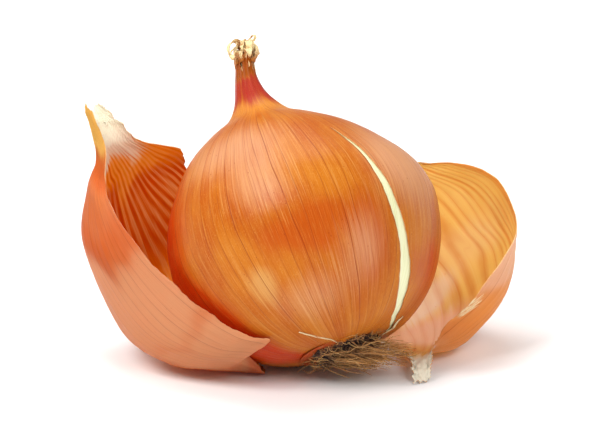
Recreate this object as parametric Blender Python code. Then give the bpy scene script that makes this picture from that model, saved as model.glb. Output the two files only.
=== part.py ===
"""An onion resting between two dry skins peeled from it.

The bulb leans back and to the left on a small flat spot, with its root plate low at the front right.
The flesh is one solid. The dry skin over it is a thin shell with a long open split and a neck. The
left peel is a boat-shaped shell with its own neck, the right peel a cup-shaped shell with a papery tail.
Metres, +Z up, front towards -Y, origin on the floor under the middle of the whole group.
"""

import math

import bmesh
import bpy
from mathutils import Matrix, Vector

MM = 0.001

# The floor point that everything below is measured from.
SET_OUT = Vector((0.5, -1.5, 0.0)) * MM

# Bulb, over its dry skin.
BULB_CENTRE = SET_OUT + Vector((0.0, -6.0, 37.2)) * MM
BULB_RADIUS = 40.2 * MM
LEAN_BACK = math.radians(28)
LEAN_LEFT = math.radians(22)
REST_FLAT_DEPTH = 0.12 * MM
SKIN_THICKNESS = 0.4 * MM
SKIN_GAP = 0.5 * MM
ROUND_STEPS = 36

# Half of the bulb's outline, from the rim of the root opening to the tip of the neck: radius as a
# share of BULB_RADIUS, and height above the widest ring in millimetres.
OUTLINE = (
    (0.26, -35.0),
    (0.38, -34.6),
    (0.56, -31.8),
    (0.76, -25.2),
    (0.91, -15.6),
    (0.985, -6.0),
    (1.0, 1.0),
    (0.945, 10.4),
    (0.81, 19.4),
    (0.63, 27.8),
    (0.425, 33.8),
    (0.245, 38.2),
    (0.15, 43.2),
    (0.1, 48.5),
    (0.073, 54.0),
    (0.072, 59.0),
    (0.085, 63.5),
)
OUTLINE_STEPS = 2
LOPSIDED = 0.14  # how much lower the right shoulder is than the left, for the height it stands at
NECK_START = 46 * MM
NECK_BEND = 14.0  # sideways shift of the neck, per metre of height squared above NECK_START
FLESH_TOP = 44 * MM

# The split in the dry skin runs up from the root opening.
SPLIT_TOP = 22 * MM
SPLIT_LOW_ANGLE = math.radians(-15)
SPLIT_TOP_ANGLE = math.radians(-52)
SPLIT_TURN = 0.4  # below 1, the split swings over more at its low end
SPLIT_HALF_WIDTH = 2.7 * MM
SPLIT_TAPER = 0.8  # 1 narrows it evenly towards its top, less keeps it wide for longer

# Ribs across the left peel, from the end under the bulb to the tip of its neck, in millimetres from
# SET_OUT: a point on the front rim, one on the keel and one on the back rim.
LEFT_RIBS = (
    ((-14.5, -17.5, 1.6), (-12.5, -12.5, 0.3), (-15.5, -5.5, 0.4)),
    ((-16.8, -31.2, 10.4), (-20.0, -15.5, 0.3), (-20.0, 4.0, 1.0)),
    ((-9.3, -38.0, 17.0), (-28.5, -14.0, 0.3), (-28.0, 13.0, 2.6)),
    ((-17.7, -38.4, 19.4), (-40.6, -7.8, 1.8), (-32.6, 20.8, 8.9)),
    ((-29.3, -34.7, 26.3), (-54.0, -4.4, 11.2), (-33.0, 33.5, 22.9)),
    ((-43.8, -24.8, 36.8), (-64.6, 5.7, 35.4), (-35.7, 37.8, 48.2)),
    ((-55.5, -6.6, 47.9), (-63.4, 12.3, 49.4), (-37.4, 36.4, 55.1)),
    ((-59.0, 6.0, 53.0), (-61.1, 15.4, 57.6), (-49.3, 27.5, 60.8)),
    ((-60.3, 13.4, 62.0), (-62.5, 18.9, 63.2), (-54.4, 23.8, 66.5)),
    ((-64.0, 17.4, 70.6), (-65.2, 20.9, 70.5), (-58.5, 23.9, 71.0)),
)

# Ribs across the right peel, from the tip of its tail on the floor to the end behind the bulb.
RIGHT_RIBS = (
    ((36.7, -23.5, 0.6), (34.2, -25.2, 0.2), (31.7, -26.4, 0.6)),
    ((36.8, -13.7, 3.2), (34.2, -12.6, 2.4), (31.6, -13.7, 3.2)),
    ((38.4, -6.5, 6.7), (36.0, -2.0, 1.4), (29.5, -1.0, 2.2)),
    ((42.4, -9.6, 13.4), (43.0, 9.0, 0.4), (27.0, 9.0, 0.6)),
    ((50.4, -9.3, 21.2), (47.0, 27.0, 6.0), (23.5, 17.0, 1.8)),
    ((58.7, -2.6, 30.9), (47.8, 39.2, 16.9), (18.8, 27.6, 4.5)),
    ((64.3, 13.1, 37.3), (45.2, 44.6, 26.8), (13.4, 37.3, 15.1)),
    ((59.4, 26.8, 48.5), (39.6, 47.2, 37.1), (9.6, 41.3, 29.5)),
    ((47.7, 39.5, 50.9), (33.9, 46.6, 45.2), (11.4, 41.0, 44.9)),
    ((36.2, 44.7, 49.5), (30.0, 45.2, 50.2), (24.0, 44.4, 51.0)),
)
RIB_STEPS = 12
RIB_SPANS = 3
FLOOR_EASE = 0.8 * MM  # how gently a peel flattens where it lies on the floor

# Sections of the root tuft from its left tip to its right tips, in millimetres from SET_OUT:
# centre, then half depth and half height.
TUFT_SECTIONS = (
    ((-1.0, -22.0, 2.0), 0.7, 0.6),
    ((5.0, -23.5, 4.0), 3.2, 2.6),
    ((11.5, -25.0, 5.2), 4.0, 3.6),
    ((18.0, -25.5, 6.0), 4.0, 3.6),
    ((25.0, -25.5, 7.6), 2.8, 2.8),
    ((30.0, -25.0, 9.8), 1.2, 1.2),
)
TUFT_STEPS = 14


def clear_scene():
    for obj in list(bpy.data.objects):
        bpy.data.objects.remove(obj, do_unlink=True)


def material(name, colour, roughness):
    finish = bpy.data.materials.new(name)
    finish.use_nodes = True
    shader = finish.node_tree.nodes["Principled BSDF"]
    shader.inputs["Base Color"].default_value = (*colour, 1.0)
    shader.inputs["Roughness"].default_value = roughness
    shader.inputs["Metallic"].default_value = 0.0
    return finish


def add_piece(name, bm, finish):
    """Turns the mesh into a smooth-shaded object of its own."""
    bmesh.ops.recalc_face_normals(bm, faces=bm.faces)
    mesh = bpy.data.meshes.new(name)
    bm.to_mesh(mesh)
    bm.free()
    mesh.shade_smooth()
    mesh.materials.append(finish)
    piece = bpy.data.objects.new(name, mesh)
    bpy.context.scene.collection.objects.link(piece)
    return piece


def smooth_through(points, spans):
    """Points of a Catmull-Rom curve through the given ones, with `spans` steps between two of them."""
    ends = [2 * points[0] - points[1], *points, 2 * points[-1] - points[-2]]
    curve = []
    for a, b, c, d in zip(ends, ends[1:], ends[2:], ends[3:]):
        for step in range(spans):
            t = step / spans
            curve.append(
                0.5 * (2 * b + t * (c - a) + t * t * (2 * a - 5 * b + 4 * c - d)
                       + t * t * t * (3 * b - a - 3 * c + d))
            )
    return curve + [points[-1]]


def arc_through(first, middle, last, steps):
    """Evenly spaced points of the circular arc from first through middle to last."""
    a, b = first - middle, last - middle
    normal = a.cross(b)
    across = (a.length_squared * b - b.length_squared * a).cross(normal)
    centre = middle + across / (2 * normal.length_squared)
    axis = normal.normalized()
    spoke = first - centre
    other = axis.cross(spoke)
    swing = math.atan2(other.dot(last - centre), spoke.dot(last - centre)) % (2 * math.pi)
    way = math.atan2(other.dot(middle - centre), spoke.dot(middle - centre)) % (2 * math.pi)
    if way > swing:
        swing -= 2 * math.pi
    return [centre + Matrix.Rotation(swing * i / steps, 3, axis) @ spoke for i in range(steps + 1)]


def skin_quads(bm, rows, count):
    """Joins rows of vertices with faces. A row of only `count` vertices is closed round on itself."""
    for low, high in zip(rows, rows[1:]):
        for j in range(count):
            corners = [low[j], low[(j + 1) % len(low)], high[(j + 1) % len(high)], high[j]]
            bm.faces.new(corners)


def thicken(piece, thickness):
    """Gives a skin its thickness, inward from the surface drawn."""
    modifier = piece.modifiers.new("thickness", "SOLIDIFY")
    modifier.thickness = thickness
    modifier.offset = -1.0
    modifier.use_even_offset = False


def bulb_outline():
    knots = [Vector((share * BULB_RADIUS, height * MM)) for share, height in OUTLINE]
    return smooth_through(knots, OUTLINE_STEPS)


def grown(radius, angle, height):
    """A point of the bulb: round about its axis, but with one shoulder low and the neck bent."""
    x, y = radius * math.cos(angle), radius * math.sin(angle)
    drop = LOPSIDED * max(0.0, height) * x / BULB_RADIUS
    return x + NECK_BEND * max(0.0, height - NECK_START) ** 2, y, height - drop


def bulb_placing():
    """Where the bulb stands: its axis leans back and left about its centre."""
    lean = Matrix.Rotation(-LEAN_LEFT, 4, "Y") @ Matrix.Rotation(-LEAN_BACK, 4, "X")
    return Matrix.Translation(BULB_CENTRE) @ lean


def make_ground_cutter():
    """A hidden block under the floor, whose top face cuts the bulb's flat spot."""
    bm = bmesh.new()
    bmesh.ops.create_cube(bm, size=0.1)
    cutter = add_piece("ground_cutter", bm, material("cutter", (0.5, 0.5, 0.5), 0.8))
    cutter.location.z = -0.05
    cutter.hide_render = True
    cutter.display_type = "WIRE"
    return cutter


def stand_on_floor(piece, sink=0.0):
    """Moves the piece down or up until its lowest point is `sink` below the floor."""
    lowest = min((piece.matrix_basis @ v.co).z for v in piece.data.vertices)
    piece.matrix_basis = Matrix.Translation((0, 0, -lowest - sink)) @ piece.matrix_basis
    return -lowest - sink


def split_share(height):
    """How far up the split this height is: 0 at the root opening, 1 at its top and above."""
    low = OUTLINE[0][1] * MM
    return min(1.0, max(0.0, (height - low) / (SPLIT_TOP - low)))


def split_angle(height):
    turn = SPLIT_TOP_ANGLE - SPLIT_LOW_ANGLE
    return SPLIT_LOW_ANGLE + turn * split_share(height) ** SPLIT_TURN


def split_half_angle(radius, height):
    """Half the angle that the split takes up in the ring at this height, 0 above its top."""
    share = split_share(height)
    if share == 1.0:
        return 0.0
    pinch = min(1.0, 0.5 + 3 * share)
    return SPLIT_HALF_WIDTH / radius * pinch * (1 - share) ** SPLIT_TAPER


def make_bulb_skin(finish, cutter):
    """The dry skin: a thin shell of revolution, open at the root and along the split."""
    bm = bmesh.new()
    rows = []
    for radius, height in bulb_outline():
        half = split_half_angle(radius, height)
        start = split_angle(height) + half
        sweep = 2 * math.pi - 2 * half
        count = ROUND_STEPS + 1 if half > 0 else ROUND_STEPS
        row = []
        for j in range(count):
            angle = start + sweep * j / ROUND_STEPS
            row.append(bm.verts.new(grown(radius, angle, height)))
        rows.append(row)
    skin_quads(bm, rows, ROUND_STEPS)
    tip = rows[-1]
    middle = sum((v.co for v in tip), Vector()) / len(tip)
    top = bm.verts.new(middle + Vector((0, 0, 1.2 * MM)))
    for a, b in zip(tip, tip[1:] + tip[:1]):
        bm.faces.new((a, b, top))
    skin = add_piece("bulb_skin", bm, finish)
    skin.matrix_basis = bulb_placing()
    lift = stand_on_floor(skin, REST_FLAT_DEPTH)
    thicken(skin, SKIN_THICKNESS)
    cut = skin.modifiers.new("rest_flat", "BOOLEAN")
    cut.operation = "DIFFERENCE"
    cut.object = cutter
    return lift


def make_bulb_flesh(finish, lift):
    """The flesh fills the skin with a small gap all round."""
    inset = SKIN_THICKNESS + SKIN_GAP
    outline = bulb_outline()
    rings = []
    for before, here, after in zip(outline, outline[1:], outline[2:]):
        along = (after - before).normalized()
        inner = here + inset * Vector((-along.y, along.x))
        if inner.y < FLESH_TOP:
            rings.append(inner)
    bm = bmesh.new()
    rows = []
    for radius, height in rings:
        turn = 2 * math.pi / ROUND_STEPS
        rows.append([
            bm.verts.new(grown(radius, turn * j, height)) for j in range(ROUND_STEPS)
        ])
    skin_quads(bm, rows, ROUND_STEPS)
    bm.faces.new(rows[0])
    bm.faces.new(rows[-1])
    flesh = add_piece("bulb_flesh", bm, finish)
    flesh.matrix_basis = Matrix.Translation((0, 0, lift)) @ bulb_placing()


def make_peel(name, ribs, finish):
    """A loose skin: circular ribs, joined lengthwise by smooth curves and flattened at the floor."""
    arcs = []
    for rib in ribs:
        front, keel, back = (SET_OUT + Vector(point) * MM for point in rib)
        arcs.append(arc_through(front, keel, back, RIB_STEPS))
    lines = [smooth_through([arc[j] for arc in arcs], RIB_SPANS) for j in range(RIB_STEPS + 1)]
    bm = bmesh.new()
    rows = []
    for points in zip(*lines):
        row = []
        for x, y, z in points:
            row.append(bm.verts.new((x, y, 0.5 * (z + math.hypot(z, FLOOR_EASE)))))
        rows.append(row)
    skin_quads(bm, rows, RIB_STEPS)
    peel = add_piece(name, bm, finish)
    stand_on_floor(peel)
    thicken(peel, SKIN_THICKNESS)


def make_root_tuft(finish):
    """The roots as one brush-shaped solid, pressed between the root plate and the floor."""
    knots = [Vector((*centre, depth, height)) * MM for centre, depth, height in TUFT_SECTIONS]
    bm = bmesh.new()
    rows = []
    for x, y, z, depth, height in smooth_through(knots, 2):
        row = []
        for j in range(TUFT_STEPS):
            angle = 2 * math.pi * j / TUFT_STEPS
            offset = Vector((x, y + depth * math.cos(angle), z + height * math.sin(angle)))
            row.append(bm.verts.new(SET_OUT + offset))
        rows.append(row)
    skin_quads(bm, rows, TUFT_STEPS)
    bm.faces.new(rows[0])
    bm.faces.new(rows[-1])
    add_piece("root_tuft", bm, finish)


def main():
    clear_scene()
    dry_skin = material("dry_skin", (0.72, 0.23, 0.05), 0.38)
    loose_skin = material("loose_skin", (0.74, 0.27, 0.08), 0.42)
    flesh = material("flesh", (0.86, 0.78, 0.44), 0.45)
    roots = material("roots", (0.45, 0.31, 0.16), 0.8)
    cutter = make_ground_cutter()
    lift = make_bulb_skin(dry_skin, cutter)
    make_bulb_flesh(flesh, lift)
    make_root_tuft(roots)
    make_peel("left_peel", LEFT_RIBS, loose_skin)
    make_peel("right_peel", RIGHT_RIBS, loose_skin)


main()
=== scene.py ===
"""Looks of an onion that lies between two dry skins peeled from it.

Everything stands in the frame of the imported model: metres, +Z up, the front towards -Y. Sizes below are
in millimetres and become metres when a mesh is made. Each sub-assembly is a class that builds its meshes
and dresses them with finishes made of shader nodes.
"""

import logging
import math
from dataclasses import dataclass, field
from enum import Enum

import bmesh
import bpy
import numpy as np
from mathutils import Matrix, Vector


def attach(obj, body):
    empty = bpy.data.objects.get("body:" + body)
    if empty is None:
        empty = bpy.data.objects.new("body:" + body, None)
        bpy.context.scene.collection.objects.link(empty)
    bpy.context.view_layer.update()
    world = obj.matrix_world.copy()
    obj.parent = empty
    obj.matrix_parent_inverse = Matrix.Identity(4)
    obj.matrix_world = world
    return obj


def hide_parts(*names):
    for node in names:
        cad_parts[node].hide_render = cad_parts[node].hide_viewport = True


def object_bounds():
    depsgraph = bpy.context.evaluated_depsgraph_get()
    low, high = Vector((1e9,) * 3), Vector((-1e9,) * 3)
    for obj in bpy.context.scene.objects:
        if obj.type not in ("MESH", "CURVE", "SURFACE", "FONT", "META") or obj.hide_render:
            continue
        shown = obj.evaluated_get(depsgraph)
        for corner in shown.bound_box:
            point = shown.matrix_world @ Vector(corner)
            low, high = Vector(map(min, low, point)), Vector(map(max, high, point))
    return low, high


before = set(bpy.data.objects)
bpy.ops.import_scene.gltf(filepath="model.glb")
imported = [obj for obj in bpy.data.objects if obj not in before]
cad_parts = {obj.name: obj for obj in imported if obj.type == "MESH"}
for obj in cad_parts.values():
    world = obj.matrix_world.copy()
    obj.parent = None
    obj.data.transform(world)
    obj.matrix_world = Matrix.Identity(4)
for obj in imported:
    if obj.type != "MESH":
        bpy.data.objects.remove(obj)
CAD_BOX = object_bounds()

MM = 0.001
SET_OUT_SHIFT = (0.46, -1.46, 0.0)  # from the middle of the CAD box's base to the set-out point
BODY = "root"
WELD_DISTANCE = 1e-7
STRAND_CLEARANCE = 0.05  # least height of a strand above the floor
log = logging.getLogger("onion")

Array = np.ndarray
Colour = tuple[float, float, float, float]
Stretch = tuple[float, float, float]
Place = tuple[float, float, float]
Pairs = tuple[tuple[float, float], ...]

BLACK: Colour = (0.0, 0.0, 0.0, 1.0)


class Slot(Enum):
    """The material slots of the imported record."""

    FLESH = "flesh"
    DRY_SKIN = "dry_skin"
    LOOSE_SKIN = "loose_skin"
    ROOTS = "roots"


class Node(Enum):
    """The CAD nodes that the pieces stand for."""

    FLESH = "bulb_flesh"
    SKIN = "bulb_skin"
    TUFT = "root_tuft"
    LEFT = "left_peel"
    RIGHT = "right_peel"


class Math(Enum):
    """Operations of the Math node used here."""

    ADD = "ADD"
    SUBTRACT = "SUBTRACT"
    MULTIPLY = "MULTIPLY"
    FLOOR = "FLOOR"
    FRACTION = "FRACT"
    ABSOLUTE = "ABSOLUTE"


# ---------------------------------------------------------------- numbers


def linear(red: float, green: float, blue: float) -> Colour:
    """Turns a display colour into the linear one that shaders work in.

    Args:
        red: Red, from 0 to 255.
        green: Green, from 0 to 255.
        blue: Blue, from 0 to 255.

    Returns:
        The colour with an alpha of 1.
    """
    parts = [value / 255 for value in (red, green, blue)]
    parts = [p / 12.92 if p <= 0.04045 else ((p + 0.055) / 1.055) ** 2.4 for p in parts]
    return (parts[0], parts[1], parts[2], 1.0)


def ease(value: Array, low: float, high: float) -> Array:
    """A smooth step.

    Args:
        value: The values to grade.
        low: Where the step starts, at 0.
        high: Where it ends, at 1. It may be below low.

    Returns:
        Values from 0 to 1.
    """
    share = np.clip((value - low) / (high - low), 0.0, 1.0)
    return share * share * (3 - 2 * share)


def hump(value: Array, centre: float, width: float) -> Array:
    """A bell curve of height 1.

    Args:
        value: The values to grade.
        centre: Where the bell stands.
        width: How wide it is.

    Returns:
        Values from 0 to 1.
    """
    return np.exp(-(((value - centre) / width) ** 2))


def waves(seed: int, *coordinates: Array, octaves: int = 4) -> Array:
    """A smooth irregular field, the same on every run.

    Args:
        seed: Picks the field.
        coordinates: Arrays of one shape. One unit is about a sixth of the longest wave.
        octaves: How many sizes of wave it has, each half as long as the last.

    Returns:
        Values of about -1 to 1.
    """
    rng = np.random.default_rng(seed)
    total = np.zeros(np.broadcast(*coordinates).shape)
    for octave in range(octaves):
        for _ in range(3):
            aim = rng.normal(size=len(coordinates))
            aim *= 2**octave / np.linalg.norm(aim)
            turn = sum(a * c for a, c in zip(aim, coordinates)) + rng.uniform(0, 2 * math.pi)
            total = total + 0.55**octave * np.sin(turn) / 2
    return total


def curve_at(knots: Array, places: Array) -> Array:
    """Points of a Catmull-Rom curve, one for each column of knots.

    Args:
        knots: Knots first, then the shape of places, then the parts of a point.
        places: Where to read each curve, counted in knots.

    Returns:
        The points: the shape of places, then the parts of a point.
    """
    knots = np.broadcast_to(knots, (len(knots), *places.shape, knots.shape[-1]))
    padded = np.concatenate([2 * knots[:1] - knots[1:2], knots, 2 * knots[-1:] - knots[-2:-1]])
    first = np.clip(np.floor(places).astype(int), 0, len(knots) - 2)
    t = (places - first)[..., None]
    others = np.indices(places.shape)
    a, b, c, d = (padded[(first + i, *others)] for i in range(4))
    return 0.5 * (
        2 * b + t * (c - a) + t * t * (2 * a - 5 * b + 4 * c - d) + t**3 * (3 * b - a - 3 * c + d)
    )


def unit(vectors: Array) -> Array:
    """Scales vectors, held in the last axis, to a length of 1."""
    return vectors / np.maximum(np.linalg.norm(vectors, axis=-1, keepdims=True), 1e-9)


# ---------------------------------------------------------------- shader nodes


class Field:
    """A value that varies over a surface: one output socket, with arithmetic."""

    def __init__(self, shader: "Shader", socket: bpy.types.NodeSocket) -> None:
        """Keeps the socket and the shader that it belongs to."""
        self.shader = shader
        self.socket = socket

    def _math(self, operation: Math, *values: "Field | float") -> "Field":
        """Adds a Math node over the values."""
        inputs = dict(enumerate(values))
        return self.shader.field("ShaderNodeMath", {"operation": operation.value}, inputs)

    def __add__(self, other: "Field | float") -> "Field":
        """Sum."""
        return self._math(Math.ADD, self, other)

    def __sub__(self, other: "Field | float") -> "Field":
        """Difference."""
        return self._math(Math.SUBTRACT, self, other)

    def __rsub__(self, other: float) -> "Field":
        """Difference from a number."""
        return self._math(Math.SUBTRACT, other, self)

    def __mul__(self, other: "Field | float") -> "Field":
        """Product."""
        return self._math(Math.MULTIPLY, self, other)

    __radd__ = __add__
    __rmul__ = __mul__

    def floor(self) -> "Field":
        """The whole number below."""
        return self._math(Math.FLOOR, self)

    def fraction(self) -> "Field":
        """What is left above the whole number below."""
        return self._math(Math.FRACTION, self)

    def absolute(self) -> "Field":
        """The size without its sign."""
        return self._math(Math.ABSOLUTE, self)

    def step(self, low: float, high: float) -> "Field":
        """A smooth step from 0 at low to 1 at high.

        Args:
            low: The value where the step starts.
            high: The value where it ends. It may be below low.

        Returns:
            The step.
        """
        settings = {"interpolation_type": "SMOOTHSTEP"}
        inputs = {"Value": self, "From Min": low, "From Max": high}
        return self.shader.field("ShaderNodeMapRange", settings, inputs)

    def stretched(self, x: float, y: float, z: float) -> "Field":
        """A vector field scaled along each axis."""
        settings = {"operation": "MULTIPLY"}
        return self.shader.field("ShaderNodeVectorMath", settings, {0: self, 1: (x, y, z)})


Tints = list[tuple[Field, Colour]]
"""The share and the colour of each tint, in the order that they are laid over each other."""


class Shader:
    """The node tree of a material or a world, under construction."""

    def __init__(self, owner: bpy.types.Material | bpy.types.World) -> None:
        """Empties the owner's node tree.

        Args:
            owner: The material or world that the tree belongs to.
        """
        self.owner = owner
        owner.use_nodes = True
        self.tree = owner.node_tree
        self.tree.nodes.clear()

    def node(self, kind: str, settings: dict | None = None, inputs: dict | None = None) -> bpy.types.Node:
        """Adds a node.

        Args:
            kind: The node's type.
            settings: Its own settings, set first. A ramp's stops are pairs of a place and a grey level.
            inputs: The value or field of each input socket, by name or number.

        Returns:
            The node.
        """
        made = self.tree.nodes.new(kind)
        for name, value in (settings or {}).items():
            if name == "stops":
                self.set_stops(made.color_ramp.elements, value)
            else:
                setattr(made, name, value)
        for key, value in (inputs or {}).items():
            if isinstance(value, Field):
                self.tree.links.new(value.socket, made.inputs[key])
            else:
                made.inputs[key].default_value = value
        return made

    @staticmethod
    def set_stops(elements: bpy.types.ColorRampElements, stops: Pairs) -> None:
        """Gives a ramp its stops.

        Args:
            elements: The ramp's own stops, two to begin with.
            stops: The place and the grey level of each stop wanted.
        """
        while len(elements) < len(stops):
            elements.new(0.5)
        for element, (position, level) in zip(elements, stops):
            element.position = position
            element.color = (level, level, level, 1.0)

    def field(self, kind: str, settings: dict | None = None, inputs: dict | None = None,
              output: str | int = 0) -> Field:
        """Adds a node and returns one of its outputs as a field.

        Args:
            kind: The node's type.
            settings: Its own settings.
            inputs: The value or field of each input socket.
            output: The output socket, by name or number.

        Returns:
            The field.
        """
        return Field(self, self.node(kind, settings, inputs).outputs[output])

    def attribute(self, name: str) -> Field:
        """A number stored on the mesh."""
        return self.field("ShaderNodeAttribute", {"attribute_name": name}, output="Fac")

    def grain(self) -> Field:
        """The place across and along the grain, in millimetres, stored on the mesh."""
        return self.field("ShaderNodeAttribute", {"attribute_name": "grain"}, output="Vector")

    def noise(self, place: Field, detail: float = 3.0, roughness: float = 0.55,
              scale: float = 1.0) -> Field:
        """Fractal noise from 0 to 1, at that place."""
        inputs = {"Vector": place, "Scale": scale, "Detail": detail, "Roughness": roughness}
        return self.field("ShaderNodeTexNoise", None, inputs, "Fac")

    def chance(self, value: Field, seed: float) -> Field:
        """A random number from 0 to 1 for each different value."""
        settings = {"noise_dimensions": "1D"}
        return self.field("ShaderNodeTexWhiteNoise", settings, {"W": value + seed}, "Value")

    def dots(self, place: Field, size: float) -> Field:
        """Scattered round dots, 1 at their middle, of that size as a share of their spacing."""
        near = self.field("ShaderNodeTexVoronoi", None, {"Vector": place, "Scale": 1.0}, "Distance")
        return near.step(size, size * 0.4)

    def blend(self, share: Field | float, first: Field | Colour, second: Field | Colour) -> Field:
        """Blends two colours: share 0 gives the first."""
        settings = {"data_type": "RGBA", "clamp_factor": True}
        return self.field("ShaderNodeMix", settings, {0: share, 6: first, 7: second}, 2)

    def layered(self, colour: Field | Colour, tints: Tints) -> Field:
        """Lays tints over a colour, one after the other.

        Args:
            colour: The colour underneath.
            tints: The tints laid over it in order.

        Returns:
            The colour with its tints.
        """
        for share, tint in tints:
            colour = self.blend(share, colour, tint)
        return colour

    def bump(self, height: Field, distance: float) -> Field:
        """A surface relief, `distance` metres high where the height field is 1."""
        inputs = {"Height": height, "Distance": distance, "Strength": 1.0}
        return self.field("ShaderNodeBump", None, inputs, "Normal")

    def principled(self, inputs: dict) -> Field:
        """The main surface shader."""
        return self.field("ShaderNodeBsdfPrincipled", None, inputs, "BSDF")

    def mixed(self, share: Field | float, first: Field, second: Field) -> Field:
        """Mixes two surface shaders: share 0 gives the first."""
        return self.field("ShaderNodeMixShader", None, {0: share, 1: first, 2: second})

    def through(self, colour: Colour, tints: Tints) -> Field:
        """Light that comes through a thin skin from behind.

        Args:
            colour: Its colour where no tint lies.
            tints: The tints laid over it in order.

        Returns:
            The shader.
        """
        lit = self.field("ShaderNodeBsdfTranslucent", None, {"Color": colour})
        for share, tint in tints:
            over = self.field("ShaderNodeBsdfTranslucent", None, {"Color": tint})
            lit = self.mixed(share, lit, over)
        return lit

    def finish(self, surface: Field, output: str = "ShaderNodeOutputMaterial") -> bpy.types.ID:
        """Wires the surface to the output and returns the owner."""
        self.node(output, None, {"Surface": surface})
        return self.owner


@dataclass(frozen=True)
class Zone:
    """A tint over part of a skin, where a mesh attribute is high.

    Its strength is how much it covers, and glow how much it tints the light that comes through. Opaque is
    how much of that light it stops, and clean how far it hides the veins and hairs.
    """

    attribute: str
    colour: Colour
    strength: float = 1.0
    glow: float = 0.0
    opaque: float = 0.0
    clean: float = 0.0


@dataclass(frozen=True)
class DrySkinFinish:
    """A papery satin skin with veins, streaks and specks along its grain.

    Each grain is how many features there are in a millimetre: twice across the skin, then along it.
    """

    name: str
    base: Colour
    dark: Colour
    light: Colour
    vein: Colour
    through: Colour
    zones: tuple[Zone, ...] = ()
    vein_strength: float = 0.6
    vein_width: float = 0.07
    band_strength: float = 0.0
    comb: float = 0.0
    fine_strength: float = 0.22
    translucency: float = 0.35
    roughness: float = 0.36
    coat: float = 0.1
    coat_roughness: float = 0.3
    shine: float = 0.08
    relief: float = 0.00006
    streak_grain: Stretch = (1.5, 1.5, 0.045)
    hair_grain: Stretch = (6.0, 6.0, 0.12)
    cloud_grain: Stretch = (0.07, 0.07, 0.05)
    mottle_grain: Stretch = (2.6, 2.6, 1.6)
    speck_grain: Stretch = (0.42, 0.42, 0.3)
    patch_grain: Stretch = (0.11, 0.11, 0.06)
    break_grain: Stretch = (0.25, 0.25, 0.05)
    main_seed: float = 3.0
    fine_seed: float = 8.0
    band_seed: float = 21.0
    fine_count: float = 3.0
    fine_shift: float = 0.37
    fine_width: float = 1.6

    def veins(self, shader: Shader, across: Field, width: float, seed: float) -> Field:
        """Thin lines, one for each unit across, of uneven strength.

        Args:
            shader: The shader to add to.
            across: The count of veins passed so far.
            width: Half the width of a line, as a share of the spacing.
            seed: Picks the strengths.

        Returns:
            A mask from 0 to 1.
        """
        line = ((across.fraction() - 0.5).absolute()).step(width, width * 0.25)
        strength = shader.chance(across.floor(), seed) * 0.8 + 0.2
        broken = shader.noise(shader.grain().stretched(*self.break_grain), 2.0).step(0.3, 0.55)
        return line * strength * (broken * 0.75 + 0.25)

    def bands(self, shader: Shader, across: Field) -> Field:
        """Broad soft bands, one for each unit across, that fade in and out.

        Args:
            shader: The shader to add to.
            across: The count of veins passed so far.

        Returns:
            A mask from 0 to 1.
        """
        band = ((across.fraction() - 0.5).absolute()).step(0.42, 0.06)
        patches = shader.noise(shader.grain().stretched(*self.patch_grain)).step(0.32, 0.62)
        return band * (shader.chance(across.floor(), self.band_seed) * 0.75 + 0.25) * (patches * 0.7 + 0.3)

    def build(self) -> bpy.types.Material:
        """Makes the material.

        Returns:
            The finished material.
        """
        shader = Shader(bpy.data.materials.new(self.name))
        grain = shader.grain()
        across = shader.attribute("across")
        streaks = shader.noise(grain.stretched(*self.streak_grain), 5.0, 0.62)
        hairs = shader.noise(grain.stretched(*self.hair_grain), 3.0, 0.6)
        clouds = shader.noise(grain.stretched(*self.cloud_grain), 3.0, 0.5)
        mottle = shader.noise(grain.stretched(*self.mottle_grain), 4.0, 0.65)
        specks = shader.dots(grain.stretched(*self.speck_grain), 0.1)
        main = self.veins(shader, across, self.vein_width, self.main_seed)
        fine_across = across * self.fine_count + self.fine_shift
        fine = self.veins(shader, fine_across, self.vein_width * self.fine_width, self.fine_seed)

        tints: Tints = [
            (clouds.step(0.34, 0.7), self.base),
            (streaks.step(0.5, 0.74) * 0.4, self.light),
            (streaks.step(0.48, 0.28) * 0.5, self.dark),
            (mottle.step(0.53, 0.72) * 0.32, self.light),
            (mottle.step(0.47, 0.28) * 0.36, self.dark),
        ]
        glows: Tints = []
        passing: Field | float = self.translucency
        keep: Field | float = 1.0
        ripple = (hairs - 0.5) * 0.35 + (streaks - 0.5) * 0.5
        bands = self.bands(shader, across) if self.band_strength > 0 else None
        if bands is not None:
            ripple = ripple - (bands - 0.5) * self.comb
        for zone in self.zones:
            share = (shader.attribute(zone.attribute) + ripple).step(0.13, 0.9) * zone.strength
            tints.append((share, zone.colour))
            if zone.glow > 0:
                glows.append((share * zone.glow, zone.colour))
            if zone.opaque > 0:
                passing = passing - share * zone.opaque
            if zone.clean > 0:
                keep = keep - share * zone.clean
        tints += [
            (hairs.step(0.53, 0.74) * keep * 0.42, self.light),
            (hairs.step(0.45, 0.25) * keep * 0.42, self.dark),
            (fine * keep * self.fine_strength, self.vein),
            (main * keep * self.vein_strength, self.vein),
        ]
        if bands is not None:
            band = bands * keep * self.band_strength
            tints.append((band, self.vein))
            glows.append((band, self.vein))
        tints.append((specks * 0.5, self.vein))

        surface = shader.principled({
            "Base Color": shader.layered(self.dark, tints),
            "Roughness": streaks * 0.16 + (self.roughness - 0.08),
            "Normal": shader.bump(
                main * 0.9 + fine * 0.35 + hairs * 0.35 + streaks * 0.5 + mottle * 0.3, self.relief),
            "Coat Weight": self.coat,
            "Coat Roughness": self.coat_roughness,
            "Specular IOR Level": self.shine,
        })
        if self.translucency > 0:
            glows.append((main * keep * 0.5, self.vein))
            surface = shader.mixed(passing, surface, shader.through(self.through, glows))
        return shader.finish(surface)


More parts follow.
